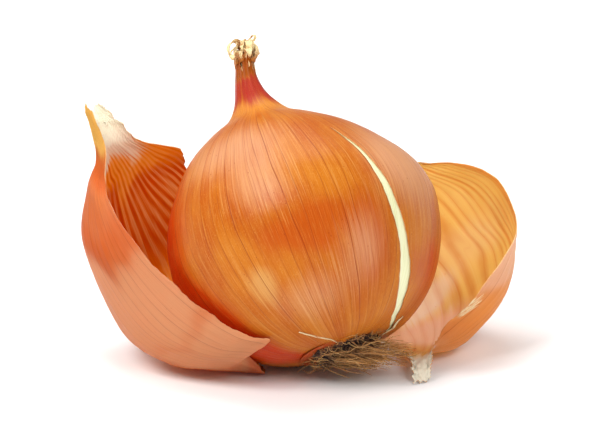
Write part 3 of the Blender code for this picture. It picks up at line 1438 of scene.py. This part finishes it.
@dataclass
class RootEnd:
    """The root plate, the ruffled collar around it and the brush of dry roots."""

    shape: BulbShape
    plate_radius: float = 10.2
    plate_height: float = -35.2
    plate_thickness: float = 0.8
    collar_radius: float = 13.2
    collar_height: float = -34.9
    collar_thickness: float = 0.18
    roots: int = 330
    stray_roots: float = 0.16
    hairs: int = 70
    hair_circle: float = 9.4
    hair_radius: float = 0.14

    def plate(self) -> None:
        """Makes the dark lumpy plate that the roots grow from."""
        rows, columns = 24, 64
        share = np.linspace(0, 1, rows)[:, None]
        turn = np.linspace(0, 2 * math.pi, columns + 1)[None, :]
        radius = self.plate_radius * share * np.ones_like(turn)
        x, y = radius * np.cos(turn), radius * np.sin(turn)
        lumps = 0.5 * waves(71, x * 1.1, y * 1.1, octaves=4)
        height = self.plate_height - 1.6 * np.cos(share * math.pi / 2) + lumps * ease(share, 1.0, 0.8)
        height = height + 2.2 * ease(share, 0.85, 1.0)
        points = self.shape.placed(np.stack([x, y, height * np.ones_like(x)], axis=-1))
        masks = {"along": share * np.ones_like(x), "shade": 0.5 + 0.5 * waves(72, x, y)}
        surface = Surface(points, masks, points.copy(), loop=True).on_floor()
        piece = surface.to_piece("root_plate", [ROOT_PLATE.build()] * 3, self.plate_thickness)
        place(piece, Node.TUFT, Slot.ROOTS)

    def collar(self) -> None:
        """Makes the torn crimson rim of older skin around the plate."""
        rows, columns = 18, 200
        share = np.linspace(0, 1, rows)[:, None]
        turn = np.linspace(0, 2 * math.pi, columns + 1)[None, :]
        cos, sin = np.cos(turn), np.sin(turn)
        ragged = waves(81, cos * 6, sin * 6, octaves=4)
        radius = self.collar_radius - (3.4 + 1.2 * ragged) * share
        sag = (0.5 + 0.5 * waves(82, cos * 5, sin * 5)) * share + 0.5 * share * (1 - share)
        ones = np.ones_like(radius)
        ring = np.stack([radius * cos, radius * sin, (self.collar_height - sag) * ones], axis=-1)
        points = self.shape.placed(ring)
        grain = np.stack([40 * cos * ones, 40 * sin * ones, radius], axis=-1)
        red = 0.55 - 0.45 * ease(np.cos(turn + math.radians(10)), -0.1, 0.7)
        masks = {zone.attribute: 0 * ones for zone in BULB_SKIN_FINISH.zones}
        masks.update({"across": turn * ones * 11, "along": share * ones, "crimson": red * ones})
        surface = Surface(points, masks, grain, loop=True).on_floor()
        piece = surface.to_piece("root_collar", [BULB_SKIN_FINISH.build()] * 3, self.collar_thickness)
        place(piece, Node.SKIN, Slot.DRY_SKIN)

    def brush(self) -> None:
        """Makes the roots: pressed flat by the bulb's weight, they sweep out to the right."""
        rng = np.random.default_rng(91)
        roots, steps = Bundle(), 16
        s = np.linspace(0, 1, steps)[:, None]
        down = self.shape.axes() @ np.array([0.0, 0.0, -1.0])
        for _ in range(self.roots):
            bearing = rng.uniform(0, 2 * math.pi)
            reach = self.plate_radius * 0.85 * math.sqrt(rng.uniform())
            foot = [reach * math.cos(bearing), reach * math.sin(bearing), self.plate_height - 0.8]
            start = self.shape.placed(np.array([foot]))[0]
            sweep = np.array([1.0, rng.normal(-0.14, 0.22), rng.normal(0.01, 0.08)])
            if rng.uniform() < self.stray_roots:
                sweep = np.array([-0.8, rng.normal(-0.45, 0.3), rng.normal(-0.02, 0.08)])
            length = rng.uniform(6.5, 14.2) * (1.0 if sweep[0] > 0 else 0.6)
            knee = start + down * rng.uniform(0.8, 2.6) + unit(sweep) * length * 0.25
            tip = knee + unit(sweep) * length * 0.8 + np.array([0, 0, rng.normal(0, 1.2)])
            middle = (knee + tip) / 2 + rng.normal(0, 0.7, 3)
            knots = np.stack([start, knee, middle, tip])
            path = curve_at(knots[:, None], s[:, 0] * 3)
            bends = [waves(int(rng.integers(1e6)), s[:, 0] * 9) for _ in range(3)]
            path = path + 0.18 * np.stack(bends, axis=-1) * s
            path[:, 2] = np.maximum(path[:, 2], 0.25 + 0.9 * rng.uniform())
            radii = rng.uniform(0.12, 0.27) * (1 - 0.72 * s[:, 0])
            roots.add(path, radii, rng.uniform())
        piece = roots.to_piece("root_brush", ROOT_FIBRE.build())
        place(piece, Node.TUFT, Slot.ROOTS)

    def curls(self) -> None:
        """Makes the short frizzy roots that stand up between the brush and the skin."""
        rng = np.random.default_rng(95)
        hairs, steps = Bundle(sides=5), 22
        s = np.linspace(0, 1, steps)
        for _ in range(self.hairs):
            bearing = rng.uniform(-2.6, 0.5)
            reach = self.hair_circle
            foot = [reach * math.cos(bearing), reach * math.sin(bearing), self.plate_height]
            start = self.shape.placed(np.array([foot]))[0]
            lean = unit(np.array([rng.normal(0.5, 0.6), -0.9, rng.normal(0.35, 0.4)]))
            side = unit(np.cross(lean, rng.normal(size=3)))
            length, loops = rng.uniform(2.5, 6.0), rng.uniform(0.3, 1.3) * 2 * math.pi
            bow = rng.uniform(0.5, 1.2)
            path = start + lean * (s * length)[:, None]
            path = path + side * (bow * np.sin(s * loops))[:, None]
            path = path + np.cross(lean, side) * (bow * (1 - np.cos(s * loops)))[:, None]
            hairs.add(path, self.hair_radius * (1 - 0.6 * s), rng.uniform())
        piece = hairs.to_piece("root_curls", ROOT_FIBRE.build())
        place(piece, Node.TUFT, Slot.ROOTS)

    def build(self) -> None:
        """Makes every piece of the root end."""
        self.plate()
        self.collar()
        self.brush()
        self.curls()


@dataclass
class TornStrands:
    """Narrow cream strands torn from the skin and lying on it near the roots.

    Each point of a route is an angle in degrees, a height and how far it stands off the skin.
    """

    shape: BulbShape
    routes: tuple[tuple[tuple[float, float, float], ...], ...] = (
        ((-11, -33.0, 0.9), (-10, -34.0, 0.9), (0, -34.9, 0.9), (16, -35.2, 0.9)),
        ((-110, -31.0, 0.3), (-106, -32.4, 0.33), (-100, -33.8, 0.35), (-90, -35.1, 0.5)),
    )
    widths: tuple[float, ...] = (0.5, 0.2)
    thickness: float = 0.12
    steps: int = 40

    def build(self) -> None:
        """Makes each strand as a thin closed ribbon that follows the bulb."""
        finish = SCRAP.build()
        for number, (route, width) in enumerate(zip(self.routes, self.widths)):
            line = curve_at(np.array(route)[:, None], np.linspace(0, len(route) - 1, self.steps))
            shares, heights = zip(*self.shape.profile)
            radius = np.interp(line[:, 1], heights, np.array(shares) * self.shape.radius)
            centre = self.shape.grown(radius, np.radians(line[:, 0]), line[:, 1])
            out = unit(np.stack([centre[:, 0], centre[:, 1], centre[:, 2] * 1.1], axis=-1))
            centre = centre + out * line[:, 2:]
            ahead = unit(np.gradient(centre, axis=0))
            side = unit(np.cross(ahead, out))
            s = np.linspace(0, 1, self.steps)[:, None]
            w = np.linspace(-1, 1, 7)[None, :]
            spread = width * np.sin(math.pi * (0.06 + 0.88 * s)) * (1 + 0.3 * waves(101 + number, s * 12))
            points = centre[:, None] + side[:, None] * (w * spread)[..., None]
            points = points + out[:, None] * (0.12 * w**2)[..., None]
            along = np.ones_like(points[..., 0]) * 0.9
            grain = np.stack([w * spread, s * 20 + 0 * w, along + number], axis=-1)
            surface = Surface(self.shape.placed(points), {"along": along}, grain)
            piece = surface.to_piece(f"torn_strand_{number + 1}", [finish] * 3, self.thickness)
            place(piece, Node.SKIN, Slot.DRY_SKIN)


# ---------------------------------------------------------------- peels

Rib = tuple[Place, Place, Place]


@dataclass
class Peel:
    """A loose skin drawn through circular ribs. Subclasses give the ribs, the edges and the tints.

    A rib is its front end, a point on its way and its back end, in millimetres from the set-out point.
    Flip swaps which side of the skin is its outside.
    """

    set_out: Array
    name: str = "peel"
    node: Node = Node.LEFT
    ribs: tuple[Rib, ...] = ()
    veins: int = 20
    vein_spacing: float = 3.4
    rows: int = 230
    columns: int = 140
    thickness: float = 0.24
    floor_ease: float = 0.8
    wander: float = 0.45
    seed: int = 200
    flip: bool = False
    outside: DrySkinFinish = LEFT_OUTSIDE
    inside: DrySkinFinish = LEFT_INSIDE

    def rib(self, number: int, across: Array) -> Array:
        """Points of one rib.

        Args:
            number: Which rib.
            across: From 0 at its front end to 1 at its back end.

        Returns:
            Points in millimetres from the set-out point.
        """
        front, middle, last = (np.array(point, float) for point in self.ribs[number])
        a, b = front - middle, last - middle
        normal = np.cross(a, b)
        toward = np.cross((a @ a) * b - (b @ b) * a, normal)
        centre = middle + toward / (2 * normal @ normal)
        axis = normal / np.linalg.norm(normal)
        spoke = front - centre
        other = np.cross(axis, spoke)
        swing = math.atan2(other @ (last - centre), spoke @ (last - centre)) % (2 * math.pi)
        way = math.atan2(other @ (middle - centre), spoke @ (middle - centre)) % (2 * math.pi)
        if way > swing:
            swing -= 2 * math.pi
        turn = (across * swing)[..., None]
        return centre + np.cos(turn) * spoke + np.sin(turn) * other

    def edges(self, along: Array) -> tuple[Array, Array]:
        """How far the front and back edges stray, as shares of a rib, at each place along."""
        reach = waves(self.seed + 1, along * 3), waves(self.seed + 2, along * 3)
        return 0.006 * reach[0], 1 + 0.006 * reach[1]

    def ends(self, across: Array) -> tuple[Array, Array]:
        """Where the skin starts and ends, counted in ribs, at each place across."""
        last = len(self.ribs) - 1
        return 0 * across, last + 0 * across

    def spread(self, across: Array, along: Array, points: Array) -> Array:
        """Which vein runs through each point, as a share of them all."""
        return across

    def relief(self, across: Array, along: Array, crest: Array) -> Array:
        """How far each point stands out from the smooth shape, in millimetres."""
        return 0 * across

    def masks(self, across: Array, along: Array) -> dict[str, Array]:
        """Where each tint lies."""
        return {}

    def surface(self) -> Surface:
        """The outside of the peel, placed in the model's frame.

        Returns:
            The surface.
        """
        i = np.linspace(0, 1, self.rows)[:, None]
        j = np.linspace(0, 1, self.columns)[None, :]
        start, end = self.ends(j)
        along = start + (end - start) * i
        front, back = self.edges(along)
        across = front + (back - front) * j
        ribs = np.stack([self.rib(number, across) for number in range(len(self.ribs))])
        points = curve_at(ribs, along)
        wobble = self.wander * waves(self.seed + 3, across * 12, along * 0.6)
        spread = self.spread(across, along, points)
        count = spread * self.veins + wobble
        crest = np.abs((count % 1.0) - 0.5)
        steps = np.linalg.norm(np.diff(points, axis=0), axis=-1)
        length = np.concatenate([np.zeros((1, self.columns)), np.cumsum(steps, axis=0)])
        width = spread * self.vein_spacing * self.veins
        grain = np.stack([width, 0 * across + self.seed, length], axis=-1)
        masks = {"across": count, "along": np.clip(along / (len(self.ribs) - 1), 0, 1)}
        masks.update(self.masks(across, along))
        surface = Surface(points, masks, grain)
        relief = self.relief(across, along, crest)
        if self.flip:
            surface, relief = surface.flipped(), relief[:, ::-1]
        surface = surface.raised(relief)
        z = surface.points[..., 2]
        soft = 0.5 * (z + np.hypot(z, self.floor_ease))
        surface.points[..., 2] = soft - soft.min()
        surface.points += self.set_out
        return surface

    def build(self) -> None:
        """Makes the peel as a closed shell."""
        finishes = [f.build() for f in (self.outside, self.inside, PEEL_EDGE)]
        piece = self.surface().to_piece(self.name, finishes, self.thickness)
        place(piece, self.node, Slot.LOOSE_SKIN)


@dataclass
class LeftPeel(Peel):
    """The boat-shaped peel with its own dry neck."""

    name: str = "left_peel_skin"
    node: Node = Node.LEFT
    veins: int = 32
    seed: int = 300
    flip: bool = True
    ribs: tuple[Rib, ...] = (
        ((-13.0, -23.8, 5.6), (-10.8, -15.0, 0.3), (-13.5, -5.5, 0.4)),
        ((-17.2, -30.8, 12.4), (-18.6, -16.0, 0.3), (-19.0, 4.0, 1.0)),
        ((-9.3, -38.0, 17.0), (-28.5, -14.0, 0.3), (-28.0, 13.0, 2.6)),
        ((-17.7, -38.4, 19.4), (-40.6, -7.8, 1.8), (-32.6, 20.8, 8.9)),
        ((-29.3, -34.7, 26.3), (-54.0, -4.4, 11.2), (-33.0, 33.5, 22.9)),
        ((-43.8, -24.8, 36.8), (-64.6, 5.7, 35.4), (-35.7, 37.8, 48.2)),
        ((-55.5, -6.6, 47.9), (-63.4, 12.3, 49.4), (-37.4, 36.4, 55.1)),
        ((-58.3, 6.0, 53.0), (-61.3, 15.4, 57.6), (-49.3, 27.5, 60.8)),
        ((-58.8, 13.4, 62.0), (-62.7, 18.9, 63.2), (-54.4, 23.8, 66.5)),
        ((-62.3, 17.0, 70.6), (-65.4, 20.9, 70.5), (-58.5, 23.9, 71.0)),
    )
    neck_tip: Place = (-64.0, 20.0, 70.0)
    first_ray: float = 0.54  # the vein, as a share of them all, that runs straight down from the tip
    ray_span: float = 100.0  # degrees that all of the veins would take up

    def spread(self, across: Array, along: Array, points: Array) -> Array:
        """Veins that fan out over the back wall in rays from the neck.

        Args:
            across: From 0 at the front edge of a rib to 1 at its back edge.
            along: The place along the peel, counted in ribs.
            points: The points of the peel, in millimetres from the set-out point.

        Returns:
            The share of the veins passed so far.
        """
        x, _, z = np.moveaxis(points - self.neck_tip, -1, 0)
        ray = self.first_ray + np.degrees(np.arctan2(x, -z)) / self.ray_span
        share = ease(across, 0.35, 0.62) * ease(along, 8.0, 6.8) * ease(along, 0.5, 3.5)
        return across + (ray - across) * share

    def edges(self, along: Array) -> tuple[Array, Array]:
        """A finely torn front rim, and a crinkled frill behind the neck.

        Args:
            along: The place along the peel, counted in ribs.

        Returns:
            The place across of the front edge and of the back edge.
        """
        neck = ease(along, 7.0, 8.2)
        front = 0.004 * waves(301, along * 4) + 0.0012 * waves(302, along * 22)
        back = 0.01 * waves(303, along * 4) + 0.035 * neck * waves(304, along * 9)
        return front, 1 + back

    def ends(self, across: Array) -> tuple[Array, Array]:
        """A ragged start near the roots, and two prongs with a notch between them at the neck.

        Args:
            across: From 0 at the front edge of a rib to 1 at its back edge.

        Returns:
            The place along of the start and of the end.
        """
        prongs = 0.2 * hump(across, 0.1, 0.14) + 0.36 * hump(across, 0.86, 0.08)
        notch = 0.22 * hump(across, 0.5, 0.2)
        ragged = 0.07 * waves(305, across * 30)
        start = 0.03 + 0.03 * waves(306, across * 9)
        return start, len(self.ribs) - 0.95 + prongs - notch + ragged

    def relief(self, across: Array, along: Array, crest: Array) -> Array:
        """Low ribs along the veins, deeper and crumpled in the neck.

        Args:
            across: From 0 at the front edge of a rib to 1 at its back edge.
            along: The place along the peel, counted in ribs.
            crest: How far each point is from the middle of its vein, from 0 to 0.5.

        Returns:
            How far each point stands out, in millimetres.
        """
        neck = ease(along, 5.6, 8.4)
        body = 0.5 * waves(307, across * 5, along * 0.9, octaves=3)
        fine = 0.1 * waves(308, across * 40, along * 2.5, octaves=3)
        ribs = (0.06 + 0.14 * neck) * ease(crest, 0.42, 0.0)
        crumple = 0.22 * ease(along, 7.6, 8.8) * waves(309, across * 14, along * 3)
        return body * (1 - 0.6 * neck) + fine + ribs + crumple

    def masks(self, across: Array, along: Array) -> dict[str, Array]:
        """Cream neck, honey-coloured outside of the neck, and paler and deeper fields lower down.

        Args:
            across: From 0 at the front edge of a rib to 1 at its back edge.
            along: The place along the peel, counted in ribs.

        Returns:
            The masks by name.
        """
        drift = waves(310, across * 6, along * 0.8)
        fingers = 0.5 * waves(311, across * 30, along * 0.3)
        step = along + 0.25 * waves(312, across * 7) + 3.2 * across
        neck = along + 0.6 * fingers - 1.3 * ease(across, 0.84, 1.0)
        return {
            "pale": np.clip(ease(step, 6.1, 5.0) + 0.9 * hump(across, 0.45, 0.16) * ease(along, 6.0, 4.4)
                            + 0.25 * drift, 0, 1),
            # On the inside these darker fields are painted shade.
            "deep": np.clip(0.8 * hump(step, 5.85, 0.3) * ease(across, 0.4, 0.3)
                            + 0.5 * hump(step, 4.2, 0.25) * ease(across, 0.5, 0.3)
                            + 0.9 * hump(along, 4.8, 0.6) * ease(across, 0.5, 0.62) + 0.25 * drift, 0, 1),
            "blush": np.clip(0.5 * hump(across, 0.5, 0.18) + 0.3 * drift, 0, 1) * ease(along, 7.0, 6.0),
            "honey": ease(along + 0.3 * fingers, 7.3, 8.2),
            "crimson": hump(along + 0.2 * fingers, 6.9, 0.6) + ease(along, 0.9, 0.3),
            "cream": ease(neck, 5.75, 6.75),
            # On the inside this brighter field is a painted glow of light through the skin.
            "bright": np.clip(0.9 * ease(along, 4.3, 3.6) + 0.95 * ease(neck, 4.9, 5.9)
                              + 0.2 * drift, 0, 1),
        }


@dataclass
class RightPeel(Peel):
    """The cup-shaped peel with its pale crinkled tail."""

    name: str = "right_peel_skin"
    node: Node = Node.RIGHT
    veins: int = 17
    seed: int = 400
    rows: int = 240
    torn_fibres: int = 22
    outside: DrySkinFinish = RIGHT_OUTSIDE
    inside: DrySkinFinish = RIGHT_INSIDE
    ribs: tuple[Rib, ...] = (
        ((36.7, -23.5, 0.6), (34.2, -25.2, 0.2), (31.7, -26.4, 0.6)),
        ((37.2, -21.5, 5.2), (34.4, -20.4, 4.4), (31.4, -21.5, 5.0)),
        ((38.4, -14.8, 8.8), (35.6, -9.5, 4.6), (30.2, -8.5, 4.4)),
        ((42.4, -9.6, 13.4), (43.0, 9.0, 0.4), (27.0, 9.0, 0.6)),
        ((50.4, -9.3, 21.2), (47.0, 27.0, 6.0), (23.5, 17.0, 1.8)),
        ((58.7, -2.6, 30.9), (47.8, 39.2, 16.9), (18.8, 27.6, 4.5)),
        ((64.3, 13.1, 37.3), (45.2, 44.6, 26.8), (13.4, 37.3, 15.1)),
        ((59.4, 26.8, 48.5), (39.6, 47.2, 37.1), (9.6, 41.3, 29.5)),
        ((47.7, 39.5, 50.9), (33.9, 46.6, 45.2), (11.4, 41.0, 44.9)),
        ((36.2, 44.7, 49.5), (30.0, 45.2, 50.2), (24.0, 44.4, 51.0)),
    )

    def edges(self, along: Array) -> tuple[Array, Array]:
        """Smooth round the cup, ragged along the tail.

        Args:
            along: The place along the peel, counted in ribs.

        Returns:
            The place across of the front edge and of the back edge.
        """
        tail = ease(along, 2.6, 1.8)
        front = 0.006 * waves(401, along * 4) + 0.05 * tail * waves(402, along * 16)
        back = 0.01 * waves(403, along * 4) + 0.05 * tail * waves(404, along * 16)
        return front, 1 + back

    def ends(self, across: Array) -> tuple[Array, Array]:
        """A torn tip to the tail and a soft end behind the bulb."""
        last = len(self.ribs) - 1.05
        return 0.05 + 0.09 * waves(405, across * 9), last + 0.05 * waves(406, across * 8)

    def relief(self, across: Array, along: Array, crest: Array) -> Array:
        """Low ribs along the veins in the cup, and crumples in the tail.

        Args:
            across: From 0 at the front edge of a rib to 1 at its back edge.
            along: The place along the peel, counted in ribs.
            crest: How far each point is from the middle of its vein, from 0 to 0.5.

        Returns:
            How far each point stands out, in millimetres.
        """
        tail = ease(along, 2.8, 2.0)
        body = 0.3 * waves(407, across * 5, along * 0.8, octaves=2)
        ribs = 0.15 * ease(crest, 0.45, 0.0)
        fine = 0.07 * waves(408, across * 40, along * 2.5, octaves=3)
        crumple = 0.3 * waves(409, across * 6, along * 5, octaves=3) + 0.3 * hump(along, 0.8, 0.12)
        return (body + ribs + fine) * (1 - tail) + crumple * tail

    def masks(self, across: Array, along: Array) -> dict[str, Array]:
        """Cream tail, a pinkish inside next to it, and above that a painted gleam and a bright field of
        painted glow.

        Args:
            across: From 0 at the front edge of a rib to 1 at its back edge.
            along: The place along the peel, counted in ribs.

        Returns:
            The masks by name.
        """
        drift = waves(410, across * 6, along * 0.8)
        fingers = 0.5 * waves(411, across * 26, along * 0.3)
        return {
            "pale": np.clip(0.35 + 0.3 * drift, 0, 1),
            "rim": hump(across, 0.08, 0.2) * ease(along, 3.7, 4.5) * ease(along, 7.0, 6.2),
            "low": np.clip(0.8 * ease(along, 4.4, 3.4) * ease(across, 0.5, 0.2) * ease(along, 2.0, 2.6)
                           + 0.2 * drift, 0, 1),
            "deep": np.clip(0.7 * ease(across, 0.12, 0.0) * ease(along, 5.0, 6.0) + 0.2 * drift, 0, 1),
            "blush": np.clip(1.1 * hump(along, 3.6, 0.65) * ease(across, 0.4, 0.62), 0, 1),
            # Painted glow of light through the skin.
            "bright": np.clip(hump(along + 1.5 * across, 6.3, 0.6) * ease(across, 0.2, 0.4), 0, 1),
            "cream": ease(along + 0.5 * fingers, 2.2, 1.2),
            "gleam": 1.2 * hump(along + 2.44 * across, 6.38, 0.36) * hump(across, 0.74, 0.13),
        }

    def fibres(self) -> None:
        """Makes the cream fibres that the tear has left along the front rim."""
        rng = np.random.default_rng(421)
        torn, steps = Bundle(sides=5), 14
        for _ in range(self.torn_fibres):
            start = rng.uniform(3.2, 3.75)
            along = start + np.linspace(0, rng.uniform(0.15, 0.4), steps)
            across = rng.uniform(0.0, 0.05) + np.linspace(0, rng.normal(0.014, 0.01), steps)
            ribs = np.stack([self.rib(number, across) for number in range(len(self.ribs))])
            path = curve_at(ribs, along) + self.set_out
            lift = 0.35 * np.sin(np.linspace(0, math.pi, steps))
            path = path + lift[:, None] * np.array([-0.5, -0.5, 0.6])
            radii = rng.uniform(0.06, 0.14) * np.sin(np.linspace(0.3, math.pi - 0.3, steps))
            torn.add(path, radii, rng.uniform(0.5, 1.0))
        place(torn.to_piece("right_rim_fibres", TORN_FIBRE.build()), Node.RIGHT, Slot.LOOSE_SKIN)

    def build(self) -> None:
        """Makes the peel and its torn fibres."""
        super().build()
        self.fibres()


# ---------------------------------------------------------------- studio


@dataclass(frozen=True)
class SoftBox:
    """A rectangular light in metres and watts, aimed at the object. Only a mirrored one shows in gloss."""

    name: str
    position: Place
    width: float
    height: float
    power: float
    mirrored: bool = False

    def build(self, target: Vector) -> None:
        """Hangs the light, aimed at the target.

        Args:
            target: The point that it is aimed at.
        """
        data = bpy.data.lights.new(self.name, "AREA")
        data.shape = "RECTANGLE"
        data.size, data.size_y = self.width, self.height
        data.energy = self.power
        lamp = in_scene(self.name, data)
        lamp.location = self.position
        lamp.visible_glossy = self.mirrored
        lamp.rotation_euler = (target - lamp.location).to_track_quat("-Z", "Y").to_euler()


@dataclass
class Studio:
    """A white table, soft light from the front left and above, and the camera.

    The camera aims at a point in millimetres from the set-out point, raised a little across its own view.
    The sky's levels go with the sine of the height above the horizon.
    """

    set_out: Array
    elevation: float = math.radians(14)
    distance: float = 0.75
    lens: float = 150.0
    sensor: float = 36.0
    aim: Place = (0.88, 0.0, 37.2)
    rise: float = 4.12
    lit_point: Place = (0.0, 0.0, 0.04)
    table_reach: float = 4.0
    boxes: tuple[SoftBox, ...] = (
        SoftBox("key_left", (-0.38, -0.4, 0.66), 0.3, 0.38, 4.8, True),
        SoftBox("top", (-0.1, 0.24, 0.8), 0.5, 0.4, 3.2, True),
        SoftBox("front", (0.3, -0.62, 0.58), 0.3, 0.3, 2.5),
        SoftBox("back_right", (0.6, 0.5, 0.5), 0.3, 0.3, 1.8),
        SoftBox("back_left", (-0.6, 0.5, 0.42), 0.26, 0.26, 1.5),
    )
    sky: Pairs = ((0.0, 1.0), (0.05, 1.0), (0.1, 0.24), (0.6, 0.41))

    def camera(self) -> None:
        """Sets up the camera: level across, looking slightly down."""
        up = Vector((0.0, math.sin(self.elevation), math.cos(self.elevation)))
        ahead = Vector((0.0, math.cos(self.elevation), -math.sin(self.elevation)))
        target = (Vector(self.set_out) + Vector(self.aim)) * MM + up * (self.rise * MM)
        data = bpy.data.cameras.new("camera")
        data.sensor_width = self.sensor
        data.lens = self.lens
        view = in_scene("camera", data)
        view.location = target - ahead * self.distance
        view.rotation_euler = ahead.to_track_quat("-Z", "Y").to_euler()
        bpy.context.scene.camera = view

    def world(self) -> None:
        """Surrounds the table with soft white light: bright at the horizon and moderate above."""
        shader = Shader(bpy.data.worlds.new("soft_white"))
        ahead = shader.field("ShaderNodeTexCoord", output="Generated")
        height = shader.field("ShaderNodeSeparateXYZ", None, {0: ahead}, "Z")
        level = shader.field("ShaderNodeValToRGB", {"stops": self.sky}, {0: height}, "Color")
        shell = shader.field("ShaderNodeBackground", None, {"Color": level})
        bpy.context.scene.world = shader.finish(shell, "ShaderNodeOutputWorld")

    def floor(self) -> None:
        """Lays the table top."""
        mesh = bpy.data.meshes.new("table")
        corners = [(x * self.table_reach, y * self.table_reach, 0)
                   for x, y in ((-1, -1), (1, -1), (1, 1), (-1, 1))]
        mesh.from_pydata(corners, [], [(0, 1, 2, 3)])
        dressed("table", mesh, [FloorFinish().build()])

    def build(self) -> None:
        """Makes the camera, the table and the lights."""
        self.camera()
        self.world()
        self.floor()
        for box in self.boxes:
            box.build(Vector(self.lit_point))
        bpy.context.scene.view_settings.view_transform = "Standard"


def main() -> None:
    """Builds the onion in order."""
    logging.basicConfig(level=logging.INFO, format="%(name)s: %(message)s")
    low, high = CAD_BOX
    middle = np.array([(low[0] + high[0]) / 2, (low[1] + high[1]) / 2, low[2]]) / MM
    set_out = middle + SET_OUT_SHIFT
    shape = BulbShape(set_out)
    Studio(set_out).build()
    BulbFlesh(shape).build()
    BulbSkin(shape).build()
    NeckFrill(shape).build()
    RootEnd(shape).build()
    TornStrands(shape).build()
    LeftPeel(set_out).build()
    RightPeel(set_out).build()
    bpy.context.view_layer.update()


if __name__ == "__main__":
    main()
